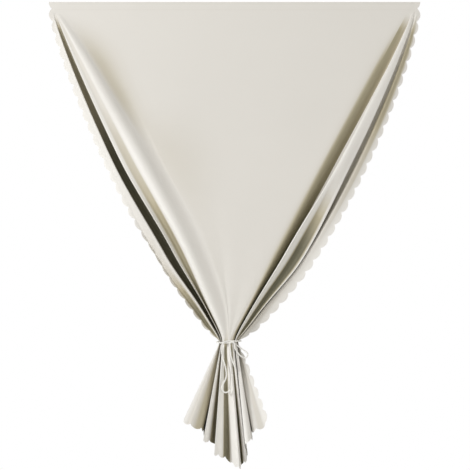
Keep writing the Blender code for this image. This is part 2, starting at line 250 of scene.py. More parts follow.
CREASES: tuple[Crease, ...] = (
    # Left edge
    Crease(
        -1.000, (0.060, 0.056, 0.050), (0.010, 0.010, 0.010),
        (-0.95, -0.45), (-0.82, 0.15), (0.30, 0.30), -1.00,
        (-0.5, -0.8, -0.8, -0.5, -0.9), (0.2, 0.5),
    ),
    # Left late valley
    Crease(
        -0.996, (0.051, 0.056, 0.038), (0.012, 0.004, -0.010),
        (-0.93, -0.25), (-1.00, 0.45), (0.45, 0.45), -0.95,
        (-0.3, -0.4, 0.1, 0.9, -0.7), (0.6, 0.5),
    ),
    # Left back crest
    Crease(
        -0.991, (0.0435, 0.0325, 0.018), (0.018, 0.018, 0.018),
        (-0.91, -0.10), (-0.83, 0.76), (0.22, 0.22), -0.90,
        (0.1, 0.0, 0.0, 0.0, 0.1), (0.5, 0.4),
    ),
    # Left return
    Crease(
        -0.986, (0.048, 0.037, 0.022), (-0.008, -0.008, -0.008),
        (-0.70, -0.80), (-0.56, 0.62), (0.30, 0.30), -0.84,
        (0.7, 1.0, 1.0, 1.0, 0.5),
    ),
    # Left tuck
    Crease(
        -0.982, (-0.045, -0.045, -0.045), (-0.004, -0.004, -0.004),
        (-0.12, -0.75), (-0.53, 0.10), (0.30, 0.30), -0.74,
        (0.7, 1.0, 1.0, 1.0, 1.0),
    ),
    # Left wall foot
    Crease(
        -0.979, (0.020, 0.0085, 0.005), (0.002, 0.002, 0.002),
        (-0.76, -0.50), (-0.52, 0.45), (0.30, 0.30), -0.63,
        (0.6, 0.9, 1.0, 1.0, 0.9),
    ),
    # Left light crest
    Crease(
        -0.976, (0.0300, 0.0155, 0.005), (0.020, 0.020, 0.020),
        (-0.78, 0.55), (-0.545, 0.80), (0.22, 0.12), -0.57,
        (-0.3, -0.4, -0.1, 0.1, -0.8),
    ),
    # Left valley, in brown painted shade
    Crease(
        -0.973, (0.010, -0.001, 0.004), (0.021, 0.003, 0.003),
        (-0.67, 0.10), (-0.29, 0.13), (0.35, 0.35), -0.52,
        (0.1, 0.35, 0.65, 0.95, 0.8),
    ),
    # Left ridge
    Crease(
        -0.970, (-0.019, -0.019, -0.009), (0.027, 0.028, 0.028),
        (-0.61, 0.83), (-0.31, 0.88), (0.42, 0.15), -0.31,
        (-0.5, -0.9, -0.7, -0.6, -1.0), (0.5, 0.85),
    ),
    # Left soft valley
    Crease(
        -0.942, (-0.048, -0.052, -0.055), (-0.004, 0.000, 0.000),
        (-0.44, 0.92), (-0.10, 0.40), (0.50, 0.30), -0.21,
        (0.34, 0.02, -0.10, 0.0, 0.85),
    ),
    # Panel, left
    Crease(
        -0.700, (-0.010, -0.040, -0.045), (0.000, 0.000, 0.000),
        (-0.22, 0.97), (0.00, 0.28), (0.50, 0.30), -0.13,
        (0.0, 0.12, 0.02, 0.0, 0.85), (0.5, 0.15),
    ),
    # Panel, middle
    Crease(
        0.000, (0.000, 0.000, 0.000), (0.000, 0.000, 0.000),
        (0.00, 1.00), (0.235, 0.93), (0.45, 0.25), 0.00,
        (0.0, 0.0, 0.0, 0.0, -0.8), (0.5, 0.7),
    ),
    # Panel, right
    Crease(
        0.915, (-0.006, -0.008, 0.000), (0.002, 0.000, 0.000),
        (0.22, 0.97), (0.265, 0.30), (0.30, 0.30), 0.08,
        (0.0, 0.0, 0.0, 0.0, 0.95),
    ),
    # Right turn
    Crease(
        0.945, (0.000, 0.004, 0.008), (-0.001, -0.003, -0.003),
        (0.42, 0.92), (0.36, 0.72), (0.35, 0.35), 0.13,
        (0.65, 0.68, 0.7, 0.95, -0.8),
    ),
    # Right dark valley
    Crease(
        0.970, (0.026, 0.0170, 0.012), (-0.018, -0.018, -0.018),
        (0.57, 0.05), (0.40, 0.20), (0.35, 0.35), 0.28,
        (0.50, 0.65, 0.85, 1.0, 0.9), (0.75, 0.5),
    ),
    # Right front crest
    Crease(
        0.974, (0.021, 0.0110, 0.005), (0.022, 0.022, 0.022),
        (0.63, 0.80), (0.335, 0.95), (0.16, 0.15), 0.56,
        (-0.6, -0.9, -0.8, -0.5, -1.0), (0.6, 0.5),
    ),
    # Right late valley
    Crease(
        0.978, (0.030, 0.038, 0.026), (0.024, 0.002, 0.002),
        (0.70, 0.50), (0.40, 1.00), (0.35, 0.35), 0.59,
        (-0.6, -0.3, 1.0, 1.0, -0.6), (0.85, 0.5),
    ),
    # Right strip edge
    Crease(
        0.982, (0.0515, 0.0600, 0.039), (0.014, 0.014, 0.014),
        (0.78, 0.62), (0.485, 0.93), (0.12, 0.20), 0.61,
        (-0.9, -1.0, -0.8, -0.5, -0.4),
    ),
    # Right wall foot
    Crease(
        0.984, (0.0425, 0.0545, 0.034), (-0.002, -0.002, -0.002),
        (0.74, -0.50), (0.50, 0.50), (0.30, 0.30), 0.66,
        (-0.7, -0.5, 0.2, 0.6, 1.0),
    ),
    # Right tuck
    Crease(
        0.986, (0.010, 0.010, 0.010), (-0.006, -0.006, -0.006),
        (0.15, -0.75), (0.45, 0.12), (0.30, 0.30), 0.73,
        (-0.5, -0.3, 0.4, 0.6, 1.0),
    ),
    # Right return
    Crease(
        0.990, (0.056, 0.058, 0.040), (-0.008, -0.008, -0.008),
        (0.70, -0.80), (0.506, 0.80), (0.30, 0.12), 0.80,
        (0.10, 0.15, 0.35, 0.5, -0.3),
    ),
    # Right back crest
    Crease(
        0.994, (0.063, 0.059, 0.040), (0.016, 0.016, 0.016),
        (0.92, 0.00), (0.69, 0.80), (0.25, 0.25), 0.88,
        (0.62, 0.3, 0.0, 0.1, 0.10), (0.8, 0.5),
    ),
    # Right edge
    Crease(
        1.000, (0.083, 0.082, 0.074), (0.012, 0.018, 0.018),
        (0.90, -0.30), (0.80, 0.84), (0.30, 0.30), 1.00,
        (-0.4, -0.8, -0.8, -0.3, -0.7),
    ),
)
LAST = len(CREASES) - 1
FRONT_CREST = CREASES[11]
FINER_CREASES = range(9, 13)
SOFT_CREASES = range(8, 13)


@dataclass(frozen=True)
class CordSizes:
    """The tie cord: its thickness, and how it turns round the neck.

    Attributes:
        diameter: Of the cord.
        clearance: Between the cord's turn and the cloth.
        grip_share: Half the height that the turn holds together, as a share of the diameter.
        turn_squareness: Power that makes the turn squarer than an ellipse.
        turn_start: Where the turn starts, in degrees right of the front.
        turn_angle: How far it goes round, in degrees.
        turn_room: Its size as a share of the bundle's.
        turn_drop: How much lower it ends than it starts, as a share of the diameter.
        turn_points: Steps of the turn.
        lay_length: Length of one full twist of the strands.
    """

    diameter: float = 0.0040
    clearance: float = 0.0008
    grip_share: float = 0.7
    turn_squareness: float = 0.75
    turn_start: float = -3.0
    turn_angle: float = 376.0
    turn_room: float = 1.06
    turn_drop: float = 1.2
    turn_points: int = 14
    lay_length: float = 0.016


# The free stretches of the cord as (right of the neck, ahead of the cloth's front crest, below the
# neck): the left end up to the knot, and the bow's loop with the right end after it.
LEFT_END: tuple[tuple[float, float, float], ...] = (
    (0.0035, 0.0034, 0.1262),
    (-0.0015, 0.0028, 0.1316),
    (-0.0085, 0.0022, 0.1343),
    (-0.0150, 0.0015, 0.1312),
    (-0.0178, 0.0010, 0.1240),
    (-0.0170, 0.0010, 0.1155),
    (-0.0130, 0.0010, 0.1070),
    (-0.0082, 0.0014, 0.0970),
    (-0.0066, 0.0020, 0.0844),
    (-0.0092, 0.0020, 0.0665),
    (-0.0129, 0.0010, 0.0539),
    (-0.0166, -0.0010, 0.0394),
    (-0.0194, -0.0005, 0.0220),
    (-0.0182, 0.0042, 0.0085),
    (-0.0132, 0.0066, 0.0012),
)
BOW_AND_RIGHT_END: tuple[tuple[float, float, float], ...] = (
    (0.0217, 0.0010, 0.0086),
    (0.0343, -0.0030, 0.0185),
    (0.0470, -0.0042, 0.0274),
    (0.0502, -0.0045, 0.0328),
    (0.0486, -0.0044, 0.0390),
    (0.0432, -0.0040, 0.0422),
    (0.0370, -0.0025, 0.0406),
    (0.0302, -0.0008, 0.0360),
    (0.0223, 0.0018, 0.0265),
    (0.0160, 0.0050, 0.0150),
    (0.0152, 0.0062, 0.0058),
    (0.0129, 0.0067, 0.0009),
    (0.0088, 0.0068, -0.0006),
    (0.0047, 0.0067, 0.0009),
    (0.0024, 0.0058, 0.0058),
    (0.0026, 0.0040, 0.0125),
    (0.0042, 0.0026, 0.0230),
    (0.0060, 0.0020, 0.0381),
    (0.0107, 0.0026, 0.0528),
    (0.0153, 0.0030, 0.0646),
    (0.0179, 0.0030, 0.0729),
)


def smooth_step(x: float) -> float:
    """Rises smoothly from 0 to 1 as x does.

    Args:
        x: Any number; it counts as 0 below 0 and as 1 above 1.

    Returns:
        A share from 0 to 1.
    """
    x = min(1.0, max(0.0, x))
    return x * x * (3 - 2 * x)


def run_lengths(path: list[Vector]) -> list[float]:
    """The length run at each place of a path.

    Args:
        path: Its places, in order.

    Returns:
        One length for each place, the first of them 0.
    """
    lengths = [0.0]
    for a, b in zip(path, path[1:]):
        lengths.append(lengths[-1] + (b - a).length)
    return lengths


def even_steps(lengths: list[float], count: int) -> list[tuple[int, float]]:
    """Evenly spaced positions on a path.

    Args:
        lengths: The length run at each place of the path.
        count: How many steps to take.

    Returns:
        count + 1 pairs of the stretch's index and the share of it.
    """
    found = []
    k = 0
    for step in range(count + 1):
        goal = lengths[-1] * step / count
        while k < len(lengths) - 2 and lengths[k + 1] < goal:
            k += 1
        found.append((k, (goal - lengths[k]) / (lengths[k + 1] - lengths[k])))
    return found


class FoldedSheet:
    """The middle surface of the hung cloth, as a function of its place on the sheet.

    q counts the creases from the left. t is -1 at the top edge, 0 below the tape, 1 at the neck and
    2 at the line of the hem's scallop feet.
    """

    def __init__(self, sheet: SheetSizes, strip: StripSizes, hang: Hang, grip: float) -> None:
        """Settles the lengths that follow from the sizes.

        Args:
            sheet: The cut sheet.
            strip: The strip that holds it.
            hang: How it hangs.
            grip: Half the height that the cord holds together.
        """
        self.sheet = sheet
        self.hang = hang
        self.origin = Vector((0, 0, strip.top_edge))
        self.neck_drop = sheet.height * hang.neck_height_share
        self.forward = strip.stack + sheet.thickness / 2
        corner_to_neck = math.hypot(sheet.half_width, self.neck_drop)
        self.side_tail = sheet.height - corner_to_neck - hang.side_take_up
        self.centre_tail = sheet.height - self.neck_drop - hang.centre_take_up
        self.grip_above = grip / self.neck_drop
        self.grip_below = grip / self.centre_tail

    def pinched(self, x: float) -> float:
        """A share from 0 at the neck to 1, rounded near the neck.

        Args:
            x: The plain share of the way from the neck, from 0 to 1.

        Returns:
            The rounded share.
        """
        e = self.hang.neck_rounding
        return (math.hypot(x, e) - e) / (math.hypot(1, e) - e)

    def sag(self, t: float) -> float:
        """How far a loose fold stands off its line, 0 at both ends and 1 where it is fullest.

        Args:
            t: The share of the way from the tape to the neck.

        Returns:
            The sag, from 0 to 1.
        """
        rise = self.hang.sag_rise
        fall = self.hang.sag_fall
        fullest = rise / (rise + fall)
        return (t / fullest) ** rise * ((1 - t) / (1 - fullest)) ** fall

    def by_height(self, values: tuple[float, float, float], t: float) -> float:
        """Blends the values for high up, low down and near the neck.

        Args:
            values: The three values.
            t: The height.

        Returns:
            The value at that height.
        """
        high, low, near = values
        lower = high + (low - high) * smooth_step((t - self.hang.shift_start) / self.hang.shift_run)
        return lower + (near - lower) * smooth_step((t - self.hang.near_start) / self.hang.near_run)

    def neck_place(self, crease: Crease) -> Vector:
        """The crease's place in the bundle under the cord.

        Args:
            crease: The crease.

        Returns:
            Its place, from the middle of the cloth's top edge.
        """
        x = self.hang.neck_shift + crease.neck[0] * self.hang.neck_half_width
        forward = self.hang.neck_forward + crease.neck[1] * self.hang.neck_half_depth
        return Vector((x, -forward, -self.neck_drop))

    def hem_place(self, crease: Crease) -> Vector:
        """The crease's lower end, from the cloth that is left below the neck.

        Args:
            crease: The crease.

        Returns:
            Its place, from the middle of the cloth's top edge.
        """
        neck = self.neck_place(crease)
        share = (1 - abs(crease.cloth)) ** self.hang.tail_length_ease
        length = self.side_tail + (self.centre_tail - self.side_tail) * share
        x = self.hang.neck_shift + crease.hem[0] * self.hang.tail_half_spread
        y = -crease.hem[1] * self.hang.tail_depth
        drop = math.sqrt(length**2 - (x - neck.x) ** 2 - (y - neck.y) ** 2)
        return Vector((x, y, neck.z - drop))

    def crease_place(self, crease: Crease, t: float) -> Vector:
        """A point of a crease, measured from the middle of the cloth's top edge.

        Args:
            crease: The crease.
            t: How far down, from -1 to 2.

        Returns:
            The point.
        """
        side = math.copysign(1, crease.top)
        tape = Vector((crease.top * self.sheet.foot_line, -self.forward, -self.hang.flat_top))
        if t <= 0:
            return Vector((tape.x, tape.y, tape.z * (1 + t)))
        neck = self.neck_place(crease)
        if t > 1:
            hem = self.hem_place(crease)
            spread = self.pinched(t - 1)
            x = neck.x + (hem.x - neck.x) * spread
            y = neck.y + (hem.y - neck.y) * spread
            return Vector((x, y, neck.z + (hem.z - neck.z) * (t - 1)))
        near = self.pinched(1 - t)
        place = neck.lerp(tape, near)
        place.y = tape.y + (neck.y - tape.y) * (1 - near) ** self.hang.forward_ease
        place.z = tape.z + (neck.z - tape.z) * t
        loose = self.sag(1 - near)
        stray = self.by_height(crease.outward, t)
        stand = self.by_height(crease.forward, t)
        fall = self.neck_drop - self.hang.flat_top
        run = math.hypot(self.sheet.half_width, fall)
        outward = Vector((side * fall / run, 0, -self.sheet.half_width / run))
        return place + outward * (stray * loose) + Vector((0, -stand * loose, 0))

    def place(self, q: float, t: float) -> Vector:
        """A point of the cloth between its creases, rounded at each.

        Args:
            q: How far across, from 0 to the last crease.
            t: How far down, from -1 to 2.

        Returns:
            The point, from the middle of the cloth's top edge.
        """
        k = min(LAST, max(0, round(q)))
        here = self.crease_place(CREASES[k], t)
        if k in (0, LAST):
            other = self.crease_place(CREASES[1 if k == 0 else LAST - 1], t)
            return here.lerp(other, abs(q - k))
        before = self.crease_place(CREASES[k - 1], t)
        after = self.crease_place(CREASES[k + 1], t)
        upper, tail = CREASES[k].bend
        bend = upper + (tail - upper) * smooth_step((t - self.hang.tail_start) / self.hang.tail_run)
        if abs(q - k) >= bend:
            return here.lerp(after if q > k else before, abs(q - k))
        start = here.lerp(before, bend)
        end = here.lerp(after, bend)
        share = (q - k + bend) / (2 * bend)
        return start.lerp(here, share).lerp(here.lerp(end, share), share)

    def edge(self, side: Side, t: float, out: float) -> Vector:
        """A point of the side edge, out metres beyond the line of the scallops' feet.

        Args:
            side: Which side edge.
            t: How far down, from -1 to 2.
            out: Metres beyond the line of the feet.

        Returns:
            The point, from the middle of the cloth's top edge.
        """
        first, second, sign = side.value
        edge = self.crease_place(CREASES[first], t)
        away = (edge - self.crease_place(CREASES[second], t)).normalized()
        turned = smooth_step(t / self.hang.edge_turn)
        away = Vector((sign, 0, 0)).lerp(away, turned).normalized()
        return edge + away * out * smooth_step(abs(t - 1) / self.hang.neck_reach)

    def border_share(self, side: Side, t: float) -> float:
        """Where the scalloped border ends, as a share of the way to the next crease.

        Args:
            side: Which side edge.
            t: How far down, from -1 to 2.

        Returns:
            The share.
        """
        first, second, _ = side.value
        edge = self.crease_place(CREASES[first], t)
        inner = self.crease_place(CREASES[second], t)
        return min(self.hang.border_share, self.hang.border_width / (inner - edge).length)

    def hem(self, q: float, down: float) -> Vector:
        """A point of the hem, down metres below the line of its scallops' feet.

        Args:
            q: How far across.
            down: Metres below the line of the feet.

        Returns:
            The point, from the middle of the cloth's top edge.
        """
        low = self.place(q, 2.0)
        above = self.place(q, 2.0 - self.hang.neck_reach)
        return low + (low - above).normalized() * down

    def scallop(self, share: float) -> float:
        """How far a round scallop stands out at this share of its width.

        Args:
            share: The share, from 0 to 1.

        Returns:
            Metres beyond the line of the feet.
        """
        half = self.sheet.scallop_pitch / 2
        depth = self.sheet.scallop_depth
        radius = (half**2 + depth**2) / (2 * depth)
        x = (2 * share - 1) * half
        return math.sqrt(radius**2 - x**2) - (radius - depth)


@dataclass(frozen=True)
class MeshSteps:
    """How finely the sheet is divided.

    Attributes:
        rows_per_scallop: Rows of points along one scallop of the side edges.
        top_rows: Rows over the flat top.
        rounds: Places of the columns on a crease's round, as shares of its bend.
        between: Places of columns between two creases.
        finer: Places of further columns between two creases of the front panel.
        least_step: Smallest distance between two columns, as a value of q.
        outer_column: How far inside the edge creases the columns stop, as a value of q.
        border: Steps across the scalloped border.
        tail_thinning: Share of an even row spacing's rows that the straighter tail needs.
        samples: Points that the edges are measured with.
    """

    rows_per_scallop: int = 6
    top_rows: int = 5
    rounds: tuple[float, ...] = (-1.0, -0.62, -0.3, 0.0, 0.3, 0.62, 1.0)
    between: tuple[float, ...] = (0.4, 0.5, 0.6)
    finer: tuple[float, ...] = (0.3, 0.7)
    least_step: float = 0.035
    outer_column: float = 0.5
    border: int = 3
    tail_thinning: float = 0.88
    samples: int = 320


@dataclass(frozen=True)
class Waves:
    """Smooth uneven waves over the cloth.

    Attributes:
        across: Waves per unit of q.
        down: Waves per unit of t.
        layer: Which layer of the noise they are taken from.
        share: Their strength.
    """

    across: float
    down: float
    layer: float
    share: float = 1.0

    def at(self, q: float, t: float) -> float:
        """Their height at a place.

        Args:
            q: How far across the cloth.
            t: How far down.

        Returns:
            The height, about -1 to 1 times the share.
        """
        return self.share * noise.noise(Vector((q * self.across, t * self.down, self.layer)))


@dataclass(frozen=True)
class Relief:
    """The cloth's own small unevenness.

    Attributes:
        panel_height: Height of the waves on the front panel, in metres.
        fold_height: The same on the side folds.
        broad: The broad waves.
        fine: The finer waves on them.
        tape_reach: How far below the tape the unevenness sets in, as a value of t.
        neck_reach: How near the neck it dies out, as a value of t.
        panel: Where the front panel starts and ends, as values of q.
        panel_fade: Over how much of q the panel's own relief sets in.
        ray_height: Height of the rays that run down the panel to the neck, in metres.
        ray_rate: Radians of ray per unit of q.
        ray_stray: How much the rays stray sideways.
        ray_growth: Power of their growth towards the neck.
    """

    panel_height: float = 0.0022
    fold_height: float = 0.0008
    broad: Waves = Waves(0.9, 2.6, 3.1)
    fine: Waves = Waves(2.1, 5.5, 8.7, 0.4)
    tape_reach: float = 0.15
    neck_reach: float = 0.12
    panel: tuple[float, float] = (9.5, 12.8)
    panel_fade: float = 0.8
    ray_height: float = 0.0008
    ray_rate: float = 7.0
    ray_stray: Waves = Waves(1.0, 3.0, 1.7, 2.4)
    ray_growth: int = 3


@dataclass(frozen=True)
class Shading:
    """How the painted shade and painted highlight change over the cloth, in values of t but for turn.

    Attributes:
        turn: Share of the way between two creases that a change takes, but on the front panel.
        high_start: Where the top's painted shade starts to give way to the one below it.
        high_run: How far that change takes.
        panel_onset: How far below the tape the painted shade sets in on the front panel.
        fold_onset: The same on the side folds.
    """

    turn: float = 0.4
    high_start: float = 0.25
    high_run: float = 0.2
    panel_onset: float = 0.18
    fold_onset: float = 0.06


Spot = tuple[Vector, float, float]


class SheetMesher:
    """Turns the folded sheet into a mesh with its flat places and its shading as attributes.

    A Spot is a point of the sheet as (place, q, t).
    """

    def __init__(self, folded: FoldedSheet, steps: MeshSteps, relief: Relief, shading: Shading) -> None:
        """Lays out the rows and columns.

        Args:
            folded: The surface to follow.
            steps: How finely it is divided.
            relief: The small unevenness laid on it.
            shading: How its painted shade and painted highlight change.
        """
        self.folded = folded
        self.steps = steps
        self.relief = relief
        self.shading = shading
        self.rows = self._rows()
        self.columns, self.phases = self._columns()

    def _edge_values(self, side: Side, low: float, high: float, count: int) -> list[float]:
        """Values of t that step evenly along a side edge."""
        span = high - low
        samples = self.steps.samples
        values = [low + span * k / samples for k in range(samples + 1)]
        lengths = run_lengths([self.folded.edge(side, t, 0) for t in values])
        return [values[k] + (values[k + 1] - values[k]) * s for k, s in even_steps(lengths, count)]

    def _rows(self) -> list[tuple[float, float, float]]:
        """The rows as (t at the left edge, t at the right edge, place in the scallop)."""
        folded = self.folded
        values = [3 * k / self.steps.samples - 1 for k in range(self.steps.samples + 1)]
        both = [run_lengths([folded.edge(side, t, 0) for t in values])[-1] for side in Side]
        count = round(sum(both) / 2 / folded.sheet.scallop_pitch)
        total = round((count - 0.5) * self.steps.rows_per_scallop)
        top = self.steps.top_rows
        tail_share = (folded.side_tail + folded.centre_tail) / 2 / (sum(both) / 2)
        below = round(total * tail_share * self.steps.tail_thinning)
        above = total - top - below - 1
        columns = []
        for side in Side:
            line = [k / top - 1 for k in range(top)]
            line += self._edge_values(side, 0.0, 1 - folded.grip_above, above)
            line += self._edge_values(side, 1 + folded.grip_below, 2.0, below)
            columns.append(line)
        per = self.steps.rows_per_scallop
        return [(a, b, (0.5 + k / per) % 1.0) for k, (a, b) in enumerate(zip(*columns))]

    def _columns(self) -> tuple[list[float], list[float]]:
        """The columns' values of q, and each one's place in the hem's scallop."""
        folded = self.folded
        found = []
        for k in range(1, LAST):
            found += [k + CREASES[k].bend[0] * share for share in self.steps.rounds]
            found += [k + share for share in self.steps.between]
            if k in FINER_CREASES:
                found += [k + share for share in self.steps.finer]
        samples = self.steps.samples
        values = [LAST * k / samples for k in range(samples + 1)]
        lengths = run_lengths([folded.place(q, 2.0) for q in values])
        count = round(lengths[-1] / folded.sheet.scallop_pitch)
        for k, share in even_steps(lengths, count)[1:-1]:
            found.append(values[k] + (values[k + 1] - values[k]) * share)
        outer = self.steps.outer_column
        columns = [outer]
        for q in sorted(found):
            if columns[-1] + self.steps.least_step < q < LAST - outer:
                columns.append(q)
        columns.append(LAST - outer)
        phases = []
        for q in columns:
            k = min(samples - 1, int(q * samples / LAST))
            share = q * samples / LAST - k
            run = lengths[k] + (lengths[k + 1] - lengths[k]) * share
            phases.append(run / lengths[-1] * count % 1.0)
        return columns, phases

    def _lift(self, q: float, t: float) -> float:
        """How far the cloth's own unevenness lifts a point towards the viewer."""
        if t <= 0:
            return 0.0
        relief = self.relief
        loose = min(1.0, t / relief.tape_reach) * min(1.0, abs(1 - t) / relief.neck_reach)
        wave = relief.broad.at(q, t) + relief.fine.at(q, t)
        first, last = relief.panel
        if first < q < last and t < 1:
            inside = smooth_step((q - first) / relief.panel_fade)
            inside *= smooth_step((last - q) / relief.panel_fade)
            ray = math.sin(q * relief.ray_rate + relief.ray_stray.at(q, t)) * t**relief.ray_growth
            return loose * inside * (relief.panel_height * wave + relief.ray_height * ray)
        return loose * relief.fold_height * wave

    def _shade(self, q: float, t: float) -> float:
        """The painted shade at a place, from -1 for full painted highlight to 1 for the deepest painted
        shade.
        """
        hang = self.folded.hang
        shading = self.shading
        k = min(LAST - 1, int(q))
        above = t < 1
        soft = above and k in SOFT_CREASES
        middle = CREASES[k].change[0 if above else 1]
        share = smooth_step(q - k if soft else (q - k - middle) / shading.turn + 0.5)
        pairs = zip(CREASES[k].shade, CREASES[k + 1].shade)
        top, high, low, near, tail = [a * (1 - share) + b * share for a, b in pairs]
        high = top + (high - top) * smooth_step((t - shading.high_start) / shading.high_run)
        upper = self.folded.by_height((high, low, near), t)
        shade = upper + (tail - upper) * smooth_step((t - hang.tail_start) / hang.tail_run)
        return shade * smooth_step(t / (shading.panel_onset if soft else shading.fold_onset))

    def _sheet_u(self, q: float) -> float:
        """The place across the flat sheet, in metres from its middle."""
        k = min(LAST - 1, int(q))
        cloth = CREASES[k].cloth + (CREASES[k + 1].cloth - CREASES[k].cloth) * (q - k)
        return cloth * self.folded.sheet.half_width

    def _line(self, row: tuple[float, float, float]) -> list[Spot]:
        """One row of spots, the scalloped borders included."""
        left, right, phase = row
        out = self.folded.scallop(phase)
        line = []
        inner_left = self.folded.border_share(Side.LEFT, left)
        inner_right = LAST - self.folded.border_share(Side.RIGHT, right)
        foot_left = self.folded.place(inner_left, left)
        foot_right = self.folded.place(inner_right, right)
        border = self.steps.border
        crest_left = self.folded.edge(Side.LEFT, left, out)
        for k in range(border, 0, -1):
            line.append((foot_left.lerp(crest_left, k / border), inner_left * (1 - k / border), left))
        line.append((foot_left, inner_left, left))
        for q in self.columns:
            t = left + (right - left) * q / LAST
            place = self.folded.place(q, t)
            place.y -= self._lift(q, t)
            line.append((place, q, t))
        line.append((foot_right, inner_right, right))
        crest_right = self.folded.edge(Side.RIGHT, right, out)
        for k in range(1, border + 1):
            q = inner_right + (LAST - inner_right) * k / border
            line.append((foot_right.lerp(crest_right, k / border), q, right))
        return line

    def _hem_lines(self, base: list[Spot]) -> list[list[Spot]]:
        """The rows of the hem's scalloped border, below the last plain row."""
        border = self.steps.border
        phases = [0.0] * (border + 1) + self.phases + [0.0] * (border + 1)
        lines = []
        for k in range(1, border + 1):
            line = []
            for (place, q, _), phase in zip(base, phases):
                outer = self.folded.hem(q, self.folded.scallop(phase))
                line.append((place.lerp(outer, k / border), q, 2.0))
            lines.append(line)
        return lines

    def build(self, name: str) -> bpy.types.Mesh:
        """Makes the open middle surface.

        Args:
            name: Name of the mesh.

        Returns:
            The mesh, with a UV map in metres of flat cloth and the attribute closed_in, which holds painted
            shade and painted highlight.
        """
        last = 2.0 - self.folded.hang.border_width / self.folded.side_tail
        rows = [row for row in self.rows if max(row[0], row[1]) < last]
        lines = [self._line(row) for row in rows]
        lines += self._hem_lines(lines[-1])
        step = self.folded.sheet.scallop_pitch / self.steps.rows_per_scallop
        mesh = bmesh.new()
        uv = mesh.loops.layers.uv.new("flat_cloth")
        # Painted shade and painted highlight, one value for each point.
        painted_shade_value = mesh.verts.layers.float.new("closed_in")
        grid = []
        flat = {}
        for i, line in enumerate(lines):
            made = []
            for place, q, t in line:
                vertex = mesh.verts.new(place + self.folded.origin)
                vertex[painted_shade_value] = self._shade(q, t)
                flat[vertex] = (self._sheet_u(q), -i * step)
                made.append(vertex)
            grid.append(made)
        for upper, lower in zip(grid, grid[1:]):
            for k in range(len(upper) - 1):
                face = mesh.faces.new((upper[k], lower[k], lower[k + 1], upper[k + 1]))
                face.smooth = True
                for loop in face.loops:
                    loop[uv].uv = flat[loop.vert]
        data = bpy.data.meshes.new(name)
        mesh.to_mesh(data)
        mesh.free()
        LOG.info("%s: %d rows of %d points", name, len(grid), len(grid[0]))
        return data


class NodeTree:
    """A thin hand on a node tree: adds nodes and joins them by socket name."""

    def __init__(self, tree: bpy.types.NodeTree) -> None:
        """Keeps the tree.

        Args:
            tree: The tree to add to.
        """
        self.tree = tree

    def add(self, kind: str, settings: dict | None = None, **inputs: object) -> bpy.types.Node:
        """Adds a node.

        Args:
            kind: The node's bl_idname.
            settings: Its properties.
            **inputs: Its inputs by socket name, underscores for spaces: a value, or an output socket.

        Returns:
            The node.
        """
        node = self.tree.nodes.new(kind)
        for key, value in (settings or {}).items():
            setattr(node, key, value)
        for key, value in inputs.items():
            self.feed(node, key.replace("_", " "), value)
        return node

    def feed(self, node: bpy.types.Node, socket: str | int, value: object) -> None:
        """Sets an input, or links an output socket to it.

        Args:
            node: The node.
            socket: The input's name or number.
            value: A value, or an output socket.
        """
        target = node.inputs[socket]
        if isinstance(value, bpy.types.NodeSocket):
            self.tree.links.new(value, target)
        else:
            target.default_value = value

    def math(self, operation: str, *values: object) -> bpy.types.NodeSocket:
        """Adds a Math node and returns its output.

        Args:
            operation: The node's operation.
            *values: Its inputs in order, values or sockets.

        Returns:
            The output socket.
        """
        node = self.tree.nodes.new("ShaderNodeMath")
        node.operation = operation
        for k, value in enumerate(values):
            self.feed(node, k, value)
        return node.outputs[0]

    def mix_colour(self, factor: object, first: object, second: object) -> bpy.types.NodeSocket:
        """Mixes two colours and returns the result.

        Args:
            factor: How much of the second colour, a value or a socket.
            first: The first colour.
            second: The second colour.

        Returns:
            The output socket.
        """
        node = self.tree.nodes.new("ShaderNodeMix")
        node.data_type = "RGBA"
        self.feed(node, 0, factor)
        self.feed(node, 6, first)
        self.feed(node, 7, second)
        return node.outputs[2]


def shader_group(name: str, inputs: dict[str, tuple[str, object]], outputs: dict[str, str]) -> tuple:
    """Starts a shader node group.

    Args:
        name: The group's name.
        inputs: Socket name to (type, default value).
        outputs: Socket name to type.

    Returns:
        The group, its NodeTree hand, the input node and the output node.
    """
    group = bpy.data.node_groups.new(name, "ShaderNodeTree")
    for socket, (kind, value) in inputs.items():
        made = group.interface.new_socket(socket, in_out="INPUT", socket_type=kind)
        if value is not None:
            made.default_value = value
    for socket, kind in outputs.items():
        group.interface.new_socket(socket, in_out="OUTPUT", socket_type=kind)
    hand = NodeTree(group)
    return group, hand, hand.add("NodeGroupInput"), hand.add("NodeGroupOutput")


